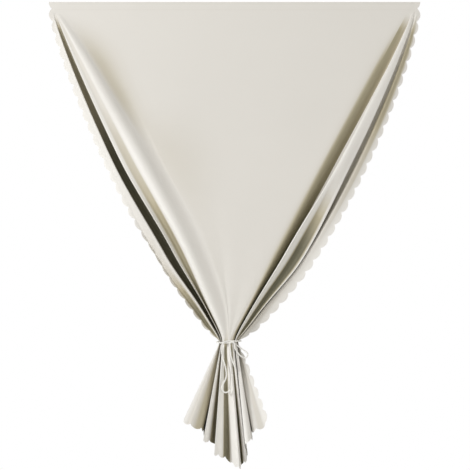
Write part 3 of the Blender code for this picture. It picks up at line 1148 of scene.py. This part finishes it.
class SharedLooks:
    """The shader groups that several finishes use."""

    SLUB_SCALE = 260.0
    MOTTLE_SCALE = 420.0
    MOTTLE_SHARE = 0.35

    def __init__(self) -> None:
        """Makes the groups once."""
        self.weave = self._weave()
        self.tone = self._tone()

    @staticmethod
    def _weave() -> bpy.types.ShaderNodeTree:
        """Height of a plain weave: over and under threads, thicker here and there."""
        inputs = {
            "Vector": ("NodeSocketVector", None),
            "Thread": ("NodeSocketFloat", 0.0006),
            "Slub": ("NodeSocketFloat", 0.25),
        }
        group, hand, start, end = shader_group("PlainWeave", inputs, {"Height": "NodeSocketFloat"})
        parts = hand.add("ShaderNodeSeparateXYZ", Vector=start.outputs["Vector"])
        rate = hand.math("DIVIDE", math.pi, start.outputs["Thread"])
        across = hand.math("SINE", hand.math("MULTIPLY", parts.outputs[0], rate))
        along = hand.math("SINE", hand.math("MULTIPLY", parts.outputs[1], rate))
        woven = hand.math("MULTIPLY", across, along)
        slub = hand.add("ShaderNodeTexNoise", Vector=start.outputs["Vector"], Detail=2.0)
        hand.feed(slub, "Scale", SharedLooks.SLUB_SCALE)
        uneven = hand.math("MULTIPLY", slub.outputs[0], start.outputs["Slub"])
        height = hand.math("ADD", hand.math("MULTIPLY_ADD", woven, 0.5, 0.5), uneven)
        hand.feed(end, "Height", height)
        return group

    @staticmethod
    def _tone() -> bpy.types.ShaderNodeTree:
        """A colour that drifts a little over the cloth and is finely mottled."""
        inputs = {
            "Vector": ("NodeSocketVector", None),
            "Colour": ("NodeSocketColor", (0.8, 0.8, 0.8, 1.0)),
            "Drift": ("NodeSocketFloat", 0.04),
            "Size": ("NodeSocketFloat", 4.0),
        }
        group, hand, start, end = shader_group("SoftTone", inputs, {"Colour": "NodeSocketColor"})
        spot = start.outputs["Vector"]
        broad = hand.add("ShaderNodeTexNoise", Vector=spot, Scale=start.outputs["Size"], Detail=3.0)
        fine = hand.add("ShaderNodeTexNoise", Vector=spot, Scale=SharedLooks.MOTTLE_SCALE, Detail=2.0)
        both = hand.math("MULTIPLY_ADD", fine.outputs[0], SharedLooks.MOTTLE_SHARE, broad.outputs[0])
        mean = (1 + SharedLooks.MOTTLE_SHARE) / 2
        swing = hand.math("MULTIPLY", hand.math("SUBTRACT", both, mean), start.outputs["Drift"])
        value = hand.math("ADD", 1.0, swing)
        tinted = hand.add("ShaderNodeHueSaturation", Color=start.outputs["Colour"], Value=value)
        hand.feed(end, "Colour", tinted.outputs[0])
        return group


@dataclass(frozen=True)
class Touch:
    """The fine numbers that all finishes share.

    Attributes:
        sheen_roughness: Of the soft reflection at grazing angles.
        rub_scale: Scale of the rubbed places.
        rub_swing: How far rubbing moves the roughness, from lowest to highest.
        weave_strength: How strongly a weave's height shows.
        grain_scale: Scale of the grain of a surface without a weave.
        grain_strength: How strongly that grain shows.
        grain_depth: Height of that grain in metres.
    """

    sheen_roughness: float = 0.45
    rub_scale: float = 35.0
    rub_swing: float = 0.16
    weave_strength: float = 0.6
    grain_scale: float = 900.0
    grain_strength: float = 0.3
    grain_depth: float = 0.00008


TOUCH = Touch()


@dataclass(frozen=True)
class Finish:
    """What a surface is made of, as numbers for its shader.

    Attributes:
        name: Name of the material.
        colour: Its base colour, linear.
        roughness: Its mean roughness.
        thread: Pitch of its weave in metres, or 0 where it has none.
        depth: Height of that weave in metres.
        drift: How much its tone varies.
        sheen: Weight of the soft reflection at grazing angles.
        specular: Strength of the plain reflection.
        painted_shading_colours: Painted highlight and painted shade colours that it turns to as the painted
            value at a point
        runs, each as (from, to, colour).
        on_cloth: Whether its pattern follows the flat cloth's UV map.
    """

    name: str
    colour: Colour
    roughness: float
    thread: float = 0.0
    depth: float = 0.0
    drift: float = 0.05
    sheen: float = 0.0
    specular: float = 0.3
    painted_shading_colours: tuple[tuple[float, float, Colour], ...] = ()
    on_cloth: bool = False

    def material(self, looks: SharedLooks) -> bpy.types.Material:
        """Builds the material.

        Args:
            looks: The shared shader groups.

        Returns:
            A node-based material.
        """
        material = bpy.data.materials.new(self.name)
        material.use_nodes = True
        tree = material.node_tree
        tree.nodes.clear()
        hand = NodeTree(tree)
        if self.on_cloth:
            spot = hand.add("ShaderNodeUVMap", {"uv_map": "flat_cloth"}).outputs[0]
        else:
            spot = hand.add("ShaderNodeTexCoord").outputs["Object"]
        tone = hand.add("ShaderNodeGroup", {"node_tree": looks.tone}, Vector=spot)
        hand.feed(tone, "Colour", (*self.colour, 1.0))
        hand.feed(tone, "Drift", self.drift)
        colour = tone.outputs[0]
        # Painted shade and painted highlight: the colour is mixed towards a lit colour and two shade
        # colours.
        if self.painted_shading_colours:
            painted_shade_value = hand.add("ShaderNodeAttribute", {"attribute_name": "closed_in"}).outputs["Fac"]
            for start, end, shade in self.painted_shading_colours:
                share = hand.add("ShaderNodeMapRange", Value=painted_shade_value, From_Min=start, From_Max=end)
                colour = hand.mix_colour(share.outputs[0], colour, (*shade, 1.0))
        surface = hand.add("ShaderNodeBsdfPrincipled")
        hand.feed(surface, "Base Color", colour)
        hand.feed(surface, "Specular IOR Level", self.specular)
        hand.feed(surface, "Sheen Weight", self.sheen)
        hand.feed(surface, "Sheen Roughness", TOUCH.sheen_roughness)
        rubbed = hand.add("ShaderNodeTexNoise", Vector=spot, Scale=TOUCH.rub_scale, Detail=4.0)
        least = self.roughness - TOUCH.rub_swing / 2
        rough = hand.math("MULTIPLY_ADD", rubbed.outputs[0], TOUCH.rub_swing, least)
        hand.feed(surface, "Roughness", rough)
        if self.thread:
            weave = hand.add("ShaderNodeGroup", {"node_tree": looks.weave}, Vector=spot)
            hand.feed(weave, "Thread", self.thread)
            bump = hand.add("ShaderNodeBump", Height=weave.outputs[0], Distance=self.depth)
            hand.feed(bump, "Strength", TOUCH.weave_strength)
        else:
            grain = hand.add("ShaderNodeTexNoise", Vector=spot, Scale=TOUCH.grain_scale, Detail=3.0)
            bump = hand.add("ShaderNodeBump", Height=grain.outputs[0], Distance=TOUCH.grain_depth)
            hand.feed(bump, "Strength", TOUCH.grain_strength)
        hand.feed(surface, "Normal", bump.outputs[0])
        output = hand.add("ShaderNodeOutputMaterial")
        tree.links.new(surface.outputs[0], output.inputs[0])
        return material


COATED_CLOTH = Finish(
    "coated_cloth",
    (0.800, 0.782, 0.752),
    0.58,
    thread=0.0007,
    depth=0.00006,
    drift=0.035,
    sheen=0.06,
    specular=0.28,
    # A painted highlight colour, then a painted shade colour and a deep painted shade colour.
    painted_shading_colours=(
        (0.0, -1.0, (0.98, 0.97, 0.95)),
        (0.0, 0.55, (0.50, 0.450, 0.325)),
        (0.5, 1.0, (0.15, 0.140, 0.092)),
    ),
    on_cloth=True,
)
LOOP_WEB = Finish("loop_web", (0.74, 0.72, 0.68), 0.88, thread=0.0005, depth=0.00012, sheen=0.25)
HOOK_WEB = Finish("hook_web", (0.76, 0.75, 0.72), 0.62, thread=0.0006, depth=0.0001)
NYLON = Finish("nylon_pile", (0.80, 0.80, 0.77), 0.42, drift=0.03, specular=0.45)
ADHESIVE = Finish("adhesive_film", (0.72, 0.72, 0.66), 0.32, drift=0.08, specular=0.5)
THREAD = Finish("sewing_thread", (0.74, 0.71, 0.66), 0.70, thread=0.0003, depth=0.00005, sheen=0.2)
COTTON = Finish("cotton_cord", (0.97, 0.965, 0.945), 0.86, thread=0.0005, depth=0.00008, sheen=0.35)


def geometry_group(name: str, inputs: dict[str, tuple[str, object]]) -> tuple:
    """Starts a geometry node group that takes and gives a geometry.

    Args:
        name: The group's name.
        inputs: Further socket name to (type, default value).

    Returns:
        The group, its NodeTree hand, the input node and the output node.
    """
    group = bpy.data.node_groups.new(name, "GeometryNodeTree")
    group.interface.new_socket("Geometry", in_out="INPUT", socket_type="NodeSocketGeometry")
    for socket, (kind, value) in inputs.items():
        made = group.interface.new_socket(socket, in_out="INPUT", socket_type=kind)
        if value is not None:
            made.default_value = value
    group.interface.new_socket("Geometry", in_out="OUTPUT", socket_type="NodeSocketGeometry")
    hand = NodeTree(group)
    return group, hand, hand.add("NodeGroupInput"), hand.add("NodeGroupOutput")


def add_piece(name: str, data: bpy.types.ID) -> bpy.types.Object:
    """Links a new object to the scene, at the origin.

    Args:
        name: Its name.
        data: Its mesh, curve, camera or light.

    Returns:
        The object.
    """
    obj = bpy.data.objects.new(name, data)
    bpy.context.scene.collection.objects.link(obj)
    return obj


def made_plain(obj: bpy.types.Object, name: str) -> bpy.types.Object:
    """Replaces an object by the plain mesh that its modifiers and nodes make.

    Args:
        obj: The object with its modifiers.
        name: Name of the new object.

    Returns:
        The new object; the old one is removed.
    """
    graph = bpy.context.evaluated_depsgraph_get()
    data = bpy.data.meshes.new_from_object(obj.evaluated_get(graph), depsgraph=graph)
    data.name = name
    bpy.data.objects.remove(obj, do_unlink=True)
    return add_piece(name, data)


def with_nodes(
    name: str, data: bpy.types.ID, group: bpy.types.NodeTree, **values: object
) -> bpy.types.Object:
    """Runs a geometry node group over some data.

    Args:
        name: Name of the finished piece.
        data: The mesh or curve that goes in.
        group: The group.
        **values: Its inputs by name, underscores for spaces.

    Returns:
        The finished piece, a plain mesh at the origin.
    """
    obj = add_piece(name + "_start", data)
    modifier = obj.modifiers.new("nodes", "NODES")
    modifier.node_group = group
    for item in group.interface.items_tree:
        if item.in_out == "INPUT" and item.name.replace(" ", "_") in values:
            modifier[item.identifier] = values[item.name.replace(" ", "_")]
    return made_plain(obj, name)


class StitchRow:
    """A row of machine stitches along a curve, as a geometry node group."""

    def __init__(self) -> None:
        """Builds the group: a small arc of thread on every point of the evenly divided curve."""
        inputs = {
            "Pitch": ("NodeSocketFloat", 0.0032),
            "Length": ("NodeSocketFloat", 0.0026),
            "Rise": ("NodeSocketFloat", 0.0004),
            "Thread": ("NodeSocketFloat", 0.00022),
            "Material": ("NodeSocketMaterial", None),
        }
        self.group, hand, start, end = geometry_group("StitchRow", inputs)
        steps = hand.add("GeometryNodeResampleCurve", {"mode": "LENGTH"}, Curve=start.outputs["Geometry"])
        hand.feed(steps, "Length", start.outputs["Pitch"])
        half = hand.math("MULTIPLY", start.outputs["Length"], 0.5)
        first = hand.add("ShaderNodeCombineXYZ", X=hand.math("MULTIPLY", half, -1.0))
        top = hand.add("ShaderNodeCombineXYZ", Y=hand.math("MULTIPLY", start.outputs["Rise"], -2.0))
        last = hand.add("ShaderNodeCombineXYZ", X=half)
        arc = hand.add("GeometryNodeCurveQuadraticBezier")
        hand.feed(arc, "Resolution", 6)
        hand.feed(arc, "Start", first.outputs[0])
        hand.feed(arc, "Middle", top.outputs[0])
        hand.feed(arc, "End", last.outputs[0])
        ring = hand.add("GeometryNodeCurvePrimitiveCircle", Resolution=6, Radius=start.outputs["Thread"])
        thread = hand.add("GeometryNodeCurveToMesh", Curve=arc.outputs[0])
        hand.feed(thread, "Profile Curve", ring.outputs[0])
        hand.feed(thread, "Fill Caps", True)
        many = hand.add("GeometryNodeInstanceOnPoints", Points=steps.outputs[0], Instance=thread.outputs[0])
        real = hand.add("GeometryNodeRealizeInstances", Geometry=many.outputs[0])
        dressed = hand.add("GeometryNodeSetMaterial", Geometry=real.outputs[0])
        hand.feed(dressed, "Material", start.outputs["Material"])
        hand.feed(end, "Geometry", dressed.outputs[0])

    def sew(
        self, name: str, height: float, forward: float, half: float, material: bpy.types.Material
    ) -> bpy.types.Object:
        """Sews one straight row.

        Args:
            name: Name of the piece.
            height: Height of the row.
            forward: Its distance from the wall.
            half: Half its length.
            material: The thread's material.

        Returns:
            The row of stitches.
        """
        curve = bpy.data.curves.new(name, "CURVE")
        curve.dimensions = "3D"
        spline = curve.splines.new("POLY")
        spline.points.add(1)
        spline.points[0].co = (-half, -forward, height, 1)
        spline.points[1].co = (half, -forward, height, 1)
        return with_nodes(name, curve, self.group, Material=material)


class TapePile:
    """The pile of one half of the strip, as a geometry node group."""

    def __init__(self) -> None:
        """Builds the group: a bent thread on every point of a flat grid, turned this way and that."""
        inputs = {
            "Height": ("NodeSocketFloat", 0.0006),
            "Reach": ("NodeSocketFloat", 0.0007),
            "Thread": ("NodeSocketFloat", 0.0001),
            "Turn": ("NodeSocketFloat", 0.0),
            "Material": ("NodeSocketMaterial", None),
        }
        self.group, hand, start, end = geometry_group("TapePile", inputs)
        rise = hand.math("MULTIPLY", start.outputs["Height"], 2.0)
        foot = hand.add("ShaderNodeCombineXYZ", X=hand.math("MULTIPLY", start.outputs["Reach"], -0.5))
        top = hand.add("ShaderNodeCombineXYZ", Y=rise)
        tip = hand.add("ShaderNodeCombineXYZ", X=hand.math("MULTIPLY", start.outputs["Reach"], 0.5))
        arc = hand.add("GeometryNodeCurveQuadraticBezier")
        hand.feed(arc, "Resolution", 5)
        hand.feed(arc, "Start", foot.outputs[0])
        hand.feed(arc, "Middle", top.outputs[0])
        hand.feed(arc, "End", tip.outputs[0])
        ring = hand.add("GeometryNodeCurvePrimitiveCircle", Resolution=4, Radius=start.outputs["Thread"])
        thread = hand.add("GeometryNodeCurveToMesh", Curve=arc.outputs[0])
        hand.feed(thread, "Profile Curve", ring.outputs[0])
        hand.feed(thread, "Fill Caps", True)
        low = hand.add("ShaderNodeCombineXYZ", Y=hand.math("MULTIPLY", start.outputs["Turn"], -1.0))
        high = hand.add("ShaderNodeCombineXYZ", Y=start.outputs["Turn"])
        turn = hand.add("FunctionNodeRandomValue", {"data_type": "FLOAT_VECTOR"})
        hand.feed(turn, 0, low.outputs[0])
        hand.feed(turn, 1, high.outputs[0])
        many = hand.add("GeometryNodeInstanceOnPoints", Points=start.outputs["Geometry"])
        hand.feed(many, "Instance", thread.outputs[0])
        hand.feed(many, "Rotation", turn.outputs[0])
        real = hand.add("GeometryNodeRealizeInstances", Geometry=many.outputs[0])
        dressed = hand.add("GeometryNodeSetMaterial", Geometry=real.outputs[0])
        hand.feed(dressed, "Material", start.outputs["Material"])
        hand.feed(end, "Geometry", dressed.outputs[0])


class TwistedCord:
    """A laid cord of three strands along a curve, as a geometry node group.

    Its outline is a circle of 1 whose radius is CORE in the grooves and CORE + LOBE on the strands.
    """

    STRANDS = 3
    CORE = 0.78
    LOBE = 0.25
    LOBE_POWER = 0.6

    def __init__(self) -> None:
        """Builds the group: a three-lobed outline swept along the curve and turned as it goes."""
        inputs = {
            "Diameter": ("NodeSocketFloat", 0.004),
            "Lay": ("NodeSocketFloat", 0.016),
            "Step": ("NodeSocketFloat", 0.0007),
            "Material": ("NodeSocketMaterial", None),
        }
        self.group, hand, start, end = geometry_group("TwistedCord", inputs)
        fine = hand.add("GeometryNodeResampleCurve", {"mode": "LENGTH"}, Curve=start.outputs["Geometry"])
        hand.feed(fine, "Length", start.outputs["Step"])
        run = hand.add("GeometryNodeSplineParameter").outputs["Length"]
        turns = hand.math("DIVIDE", run, start.outputs["Lay"])
        tilted = hand.add("GeometryNodeSetCurveTilt", Curve=fine.outputs[0])
        hand.feed(tilted, "Tilt", hand.math("MULTIPLY", turns, math.tau))
        ring = hand.add("GeometryNodeCurvePrimitiveCircle", Resolution=24, Radius=1.0)
        spot = hand.add("GeometryNodeInputPosition")
        parts = hand.add("ShaderNodeSeparateXYZ", Vector=spot.outputs[0])
        angle = hand.math("ARCTAN2", parts.outputs[1], parts.outputs[0])
        lobe = hand.math("ABSOLUTE", hand.math("COSINE", hand.math("MULTIPLY", angle, self.STRANDS / 2)))
        radius = hand.math("MULTIPLY_ADD", hand.math("POWER", lobe, self.LOBE_POWER), self.LOBE, self.CORE)
        size = hand.math("MULTIPLY", radius, hand.math("MULTIPLY", start.outputs["Diameter"], 0.5))
        shaped = hand.add("ShaderNodeVectorMath", {"operation": "SCALE"})
        hand.feed(shaped, 0, spot.outputs[0])
        hand.feed(shaped, "Scale", size)
        outline = hand.add("GeometryNodeSetPosition", Geometry=ring.outputs[0])
        hand.feed(outline, "Position", shaped.outputs[0])
        swept = hand.add("GeometryNodeCurveToMesh", Curve=tilted.outputs[0])
        hand.feed(swept, "Profile Curve", outline.outputs[0])
        hand.feed(swept, "Fill Caps", True)
        real = hand.add("GeometryNodeRealizeInstances", Geometry=swept.outputs[0])
        dressed = hand.add("GeometryNodeSetMaterial", Geometry=real.outputs[0])
        hand.feed(dressed, "Material", start.outputs["Material"])
        hand.feed(end, "Geometry", dressed.outputs[0])


class TieCord:
    """The cord: its route, and the piece that follows it."""

    def __init__(self, folded: FoldedSheet, sizes: CordSizes) -> None:
        """Keeps what the route is measured from.

        Args:
            folded: The cloth that it ties.
            sizes: Its thickness and its turn.
        """
        self.folded = folded
        self.sizes = sizes

    def _free_place(self, right: float, ahead: float, below: float) -> Vector:
        """A place of a free stretch, measured from the neck and the cloth's front crest."""
        folded = self.folded
        t = 1 + below / (-folded.neck_drop - folded.hem_place(FRONT_CREST).z)
        crest = folded.crease_place(FRONT_CREST, t)
        gap = ahead + (folded.sheet.thickness + self.sizes.diameter) / 2
        return Vector((folded.hang.neck_shift + right, crest.y - gap, -folded.neck_drop - below))

    def _turn(self) -> list[Vector]:
        """The turn round the neck, from its front over the right side and back to its front."""
        hang = self.folded.hang
        sizes = self.sizes
        room = sizes.clearance + (self.folded.sheet.thickness + sizes.diameter) / 2
        across = hang.neck_half_width * sizes.turn_room + room
        deep = hang.neck_half_depth * sizes.turn_room + room
        points = []
        for k in range(sizes.turn_points + 1):
            share = k / sizes.turn_points
            angle = math.radians(sizes.turn_start + share * sizes.turn_angle)
            s = math.sin(angle)
            c = math.cos(angle)
            x = hang.neck_shift + across * math.copysign(abs(s) ** sizes.turn_squareness, s)
            forward = hang.neck_forward + deep * math.copysign(abs(c) ** sizes.turn_squareness, c)
            lower = sizes.diameter * sizes.turn_drop * (smooth_step(share) - 0.5)
            points.append(Vector((x, -forward, -self.folded.neck_drop - lower)))
        return points

    def route(self, count: int = 240, curve_steps: int = 16) -> list[Vector]:
        """The cord's centreline.

        Args:
            count: How many points to give.
            curve_steps: How finely the curve between two knots is followed.

        Returns:
            Evenly spaced points, from the left end to the right one.
        """
        knots = [self._free_place(*place) for place in LEFT_END]
        knots += self._turn()
        knots += [self._free_place(*place) for place in BOW_AND_RIGHT_END]
        knots = [2 * knots[0] - knots[1]] + knots + [2 * knots[-1] - knots[-2]]
        fine = []
        for a, b, c, d in zip(knots, knots[1:], knots[2:], knots[3:]):
            for step in range(curve_steps):
                s = step / curve_steps
                place = b * 2 + (c - a) * s + (a * 2 - b * 5 + c * 4 - d) * s**2
                fine.append((place + (b * 3 - a - c * 3 + d) * s**3) / 2)
        fine.append(knots[-2])
        steps = even_steps(run_lengths(fine), count - 1)
        return [fine[k].lerp(fine[k + 1], share) + self.folded.origin for k, share in steps]

    def build(self, material: bpy.types.Material) -> bpy.types.Object:
        """Args:
            material: Its material.

        Returns:
            The finished piece.
        """
        route = self.route()
        curve = bpy.data.curves.new("tie_cord_line", "CURVE")
        curve.dimensions = "3D"
        spline = curve.splines.new("POLY")
        spline.points.add(len(route) - 1)
        for point, place in zip(spline.points, route):
            point.co = (*place, 1.0)
        sizes = self.sizes
        cord = with_nodes(
            "cotton_tie_cord",
            curve,
            TwistedCord().group,
            Diameter=sizes.diameter,
            Lay=sizes.lay_length,
            Material=material,
        )
        smooth(cord.data)
        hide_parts("tie_cord")
        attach(cord, BODY)
        return cord


def smooth(data: bpy.types.Mesh, sharp_angle: float = 50.0) -> None:
    """Shades a mesh smooth, but not over its sharp edges.

    Args:
        data: The mesh.
        sharp_angle: The angle in degrees from which an edge stays sharp.
    """
    data.polygons.foreach_set("use_smooth", [True] * len(data.polygons))
    data.set_sharp_from_angle(angle=math.radians(sharp_angle))
    data.update()


class HoldUpStrip:
    """The adhesive, the hook half and the loop half, from the wall outwards."""

    def __init__(self, sheet: SheetSizes, strip: StripSizes) -> None:
        """Keeps the sizes.

        Args:
            sheet: The sheet that it holds.
            strip: Its own sizes.
        """
        self.strip = strip
        self.half = sheet.half_width - strip.end_gap

    def _band(self, name: str, forward: float, thickness: float, round_off: float) -> bpy.types.Object:
        """A flat band with softened edges whose back is forward metres from the wall.

        Args:
            name: Name of the piece.
            forward: From the wall to its back.
            thickness: Its thickness.
            round_off: Size of the softened edges.

        Returns:
            The band.
        """
        mesh = bmesh.new()
        bmesh.ops.create_cube(mesh, size=1.0)
        bmesh.ops.scale(mesh, vec=(2 * self.half, thickness, self.strip.width), verts=mesh.verts)
        bmesh.ops.translate(mesh, vec=(0, -(forward + thickness / 2), 0), verts=mesh.verts)
        long_edges = [e for e in mesh.edges if abs(e.verts[0].co.x - e.verts[1].co.x) > self.half]
        bmesh.ops.bevel(mesh, geom=long_edges, offset=round_off, segments=3, affect="EDGES", profile=0.5)
        data = bpy.data.meshes.new(name)
        mesh.to_mesh(data)
        mesh.free()
        smooth(data)
        return add_piece(name, data)

    def _pile(
        self, kind: Pile, nodes: TapePile, forward: float, material: bpy.types.Material
    ) -> bpy.types.Object:
        """The hooks or loops on a band.

        Args:
            kind: Hooks or loops.
            nodes: The pile's geometry nodes.
            forward: From the wall to the band's face that they are rooted in.
            material: Their material.

        Returns:
            The pile.
        """
        strip = self.strip
        word, pitch, side, turn = kind.value
        columns = int(2 * self.half / pitch)
        rows = int((strip.width - strip.pile_margin) / pitch) + 1
        mesh = bmesh.new()
        for i in range(columns):
            for j in range(rows):
                stagger = strip.pile_stagger * (j % 2)
                x = -self.half + pitch * (i + 0.5 + stagger)
                z = (j - (rows - 1) / 2) * pitch
                mesh.verts.new((x, -forward, z))
        data = bpy.data.meshes.new(word)
        mesh.to_mesh(data)
        mesh.free()
        height = side * strip.pile_fill * (strip.tape - strip.web)
        pile = with_nodes(word + "_pile", data, nodes.group, Height=height, Turn=turn, Material=material)
        smooth(pile.data)
        return pile

    def build(self, materials: dict[str, bpy.types.Material]) -> list[bpy.types.Object]:
        """Makes the strip's pieces.

        Args:
            materials: The materials by finish name.

        Returns:
            The pieces that the cloth hangs from.
        """
        strip = self.strip
        pile_nodes = TapePile()
        nylon = materials["nylon_pile"]
        hook_back = strip.adhesive + strip.gap
        loop_web_back = hook_back + strip.tape + strip.gap + strip.tape - strip.web
        film = self._band("adhesive_film", 0.0, strip.adhesive, strip.film_round_off)
        hook = self._band("hook_web", hook_back, strip.web, strip.web_round_off)
        loop = self._band("loop_web", loop_web_back, strip.web, strip.web_round_off)
        hooks = self._pile(Pile.HOOK, pile_nodes, hook_back + strip.web, nylon)
        loops = self._pile(Pile.LOOP, pile_nodes, loop_web_back, nylon)
        for piece, finish, slot, node in (
            (film, "adhesive_film", "adhesive_strip", "adhesive_strip"),
            (hook, "hook_web", "hook_tape", "hook_tape"),
            (loop, "loop_web", "loop_tape", "loop_tape"),
            (hooks, None, "hook_tape", None),
            (loops, None, "loop_tape", None),
        ):
            if finish:
                piece.data.materials.append(materials[finish])
            if node:
                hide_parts(node)
            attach(piece, BODY)
        return [loop]


class Curtain:
    """The whole curtain: its cloth, strip, stitching and cord."""

    def __init__(self) -> None:
        """Settles the sizes that the pieces share."""
        self.sheet = SheetSizes()
        self.strip = StripSizes()
        self.cord_sizes = CordSizes()
        grip = self.cord_sizes.grip_share * self.cord_sizes.diameter
        self.folded = FoldedSheet(self.sheet, self.strip, Hang(), grip)
        looks = SharedLooks()
        finishes = (COATED_CLOTH, LOOP_WEB, HOOK_WEB, NYLON, ADHESIVE, THREAD, COTTON)
        self.materials = {finish.name: finish.material(looks) for finish in finishes}

    def _cloth(self) -> bpy.types.Object:
        """The sheet, given its thickness."""
        data = SheetMesher(self.folded, MeshSteps(), Relief(), Shading()).build("cloth_start")
        data.materials.append(self.materials["coated_cloth"])
        obj = add_piece("cloth_start", data)
        solid = obj.modifiers.new("thickness", "SOLIDIFY")
        solid.thickness = self.sheet.thickness
        solid.offset = 0.0
        cloth = made_plain(obj, "folded_cloth")
        smooth(cloth.data, sharp_angle=60.0)
        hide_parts("curtain_panel")
        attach(cloth, BODY)
        return cloth

    def _stitches(self) -> list[bpy.types.Object]:
        """The two rows that sew the loop half to the cloth."""
        sewer = StitchRow()
        forward = self.folded.forward + self.sheet.thickness / 2
        half = self.sheet.half_width - self.strip.end_gap - self.strip.stitch_end_gap
        rows = []
        for name, side in (("upper_stitches", 1), ("lower_stitches", -1)):
            level = side * (self.strip.width / 2 - self.strip.stitch_inset)
            row = sewer.sew(name, level, forward, half, self.materials["sewing_thread"])
            smooth(row.data)
            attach(row, BODY)
            rows.append(row)
        return rows

    def build(self) -> None:
        TieCord(self.folded, self.cord_sizes).build(self.materials["cotton_cord"])
        holders = HoldUpStrip(self.sheet, self.strip).build(self.materials)
        cloth = self._cloth()
        rows = self._stitches()


@dataclass(frozen=True)
class Lamp:
    """A soft rectangular light.

    Attributes:
        name: Its name.
        place: Where it stands.
        size: Its width and height.
        power: In watts.
        colour: Its colour, linear.
    """

    name: str
    place: tuple[float, float, float]
    size: tuple[float, float]
    power: float
    colour: Colour = (1.0, 1.0, 1.0)


class Studio:
    """Camera, light, floor and white surround."""

    PIXEL = 0.00268
    AIM = Vector((0.0013, -0.03, -0.6141))
    DISTANCE = 6.5
    FRAME_PIXELS = 470
    LAMPS = (
        Lamp("key_light", (-3.5, -2.8, 1.0), (1.2, 1.2), 131.0, (1.0, 0.995, 0.99)),
        Lamp("fill_light", (3.0, -4.0, -1.6), (2.2, 2.2), 70.0, (1.0, 0.985, 0.95)),
        Lamp("back_light", (0.6, 3.2, 1.2), (2.4, 1.6), 20.0),
    )
    AMBIENT = 0.30
    AMBIENT_COLOUR = (1.0, 0.96, 0.86, 1.0)
    FLOOR_HEIGHT = -2.1

    def camera(self) -> None:
        """Puts the camera straight in front, as in the photograph."""
        data = bpy.data.cameras.new("studio_camera")
        data.sensor_fit = "HORIZONTAL"
        data.sensor_width = 36.0
        data.lens = 36.0 * self.DISTANCE / (self.PIXEL * self.FRAME_PIXELS)
        data.clip_end = 60.0
        camera = add_piece("studio_camera", data)
        camera.location = self.AIM + Vector((0, -self.DISTANCE, 0))
        camera.rotation_euler = (math.radians(90), 0, 0)
        bpy.context.scene.camera = camera

    def lamps(self) -> None:
        """Sets up the area lights, each aimed at the curtain."""
        for lamp in self.LAMPS:
            data = bpy.data.lights.new(lamp.name, "AREA")
            data.shape = "RECTANGLE"
            data.size, data.size_y = lamp.size
            data.energy = lamp.power
            data.color = lamp.colour
            light = add_piece(lamp.name, data)
            light.location = lamp.place
            aim = self.AIM - Vector(lamp.place)
            light.rotation_euler = aim.to_track_quat("-Z", "Y").to_euler()

    def floor(self) -> None:
        """Lays a plain pale floor well below the curtain."""
        mesh = bmesh.new()
        bmesh.ops.create_grid(mesh, x_segments=1, y_segments=1, size=4.0)
        data = bpy.data.meshes.new("studio_floor")
        mesh.to_mesh(data)
        mesh.free()
        floor = add_piece("studio_floor", data)
        floor.location.z = self.FLOOR_HEIGHT
        material = bpy.data.materials.new("pale_floor")
        material.use_nodes = True
        surface = material.node_tree.nodes["Principled BSDF"]
        surface.inputs["Base Color"].default_value = (0.82, 0.82, 0.81, 1.0)
        surface.inputs["Roughness"].default_value = 0.8
        data.materials.append(material)

    def surround(self) -> None:
        """Shows plain white to the camera and to reflections, and a dimmer grey to everything else."""
        world = bpy.data.worlds.new("studio_world")
        bpy.context.scene.world = world
        world.use_nodes = True
        world.node_tree.nodes.clear()
        hand = NodeTree(world.node_tree)
        rays = hand.add("ShaderNodeLightPath")
        seen = hand.math("MAXIMUM", rays.outputs["Is Camera Ray"], rays.outputs["Is Glossy Ray"])
        white = hand.add("ShaderNodeBackground", Color=(1.0, 1.0, 1.0, 1.0), Strength=1.0)
        soft = hand.add("ShaderNodeBackground", Color=self.AMBIENT_COLOUR, Strength=self.AMBIENT)
        mixed = hand.add("ShaderNodeMixShader")
        hand.feed(mixed, 0, seen)
        hand.feed(mixed, 1, soft.outputs[0])
        hand.feed(mixed, 2, white.outputs[0])
        output = hand.add("ShaderNodeOutputWorld")
        world.node_tree.links.new(mixed.outputs[0], output.inputs[0])

    def build(self) -> None:
        """Sets up the whole studio."""
        self.camera()
        self.lamps()
        self.floor()
        self.surround()
        settings = bpy.context.scene.view_settings
        settings.view_transform = "Standard"
        settings.look = "None"
        settings.exposure = 0.0
        settings.gamma = 1.0


def main() -> None:
    """Builds the studio and the curtain."""
    logging.basicConfig(level=logging.INFO, format="%(name)s: %(message)s")
    Studio().build()
    Curtain().build()


if __name__ == "__main__":
    main()
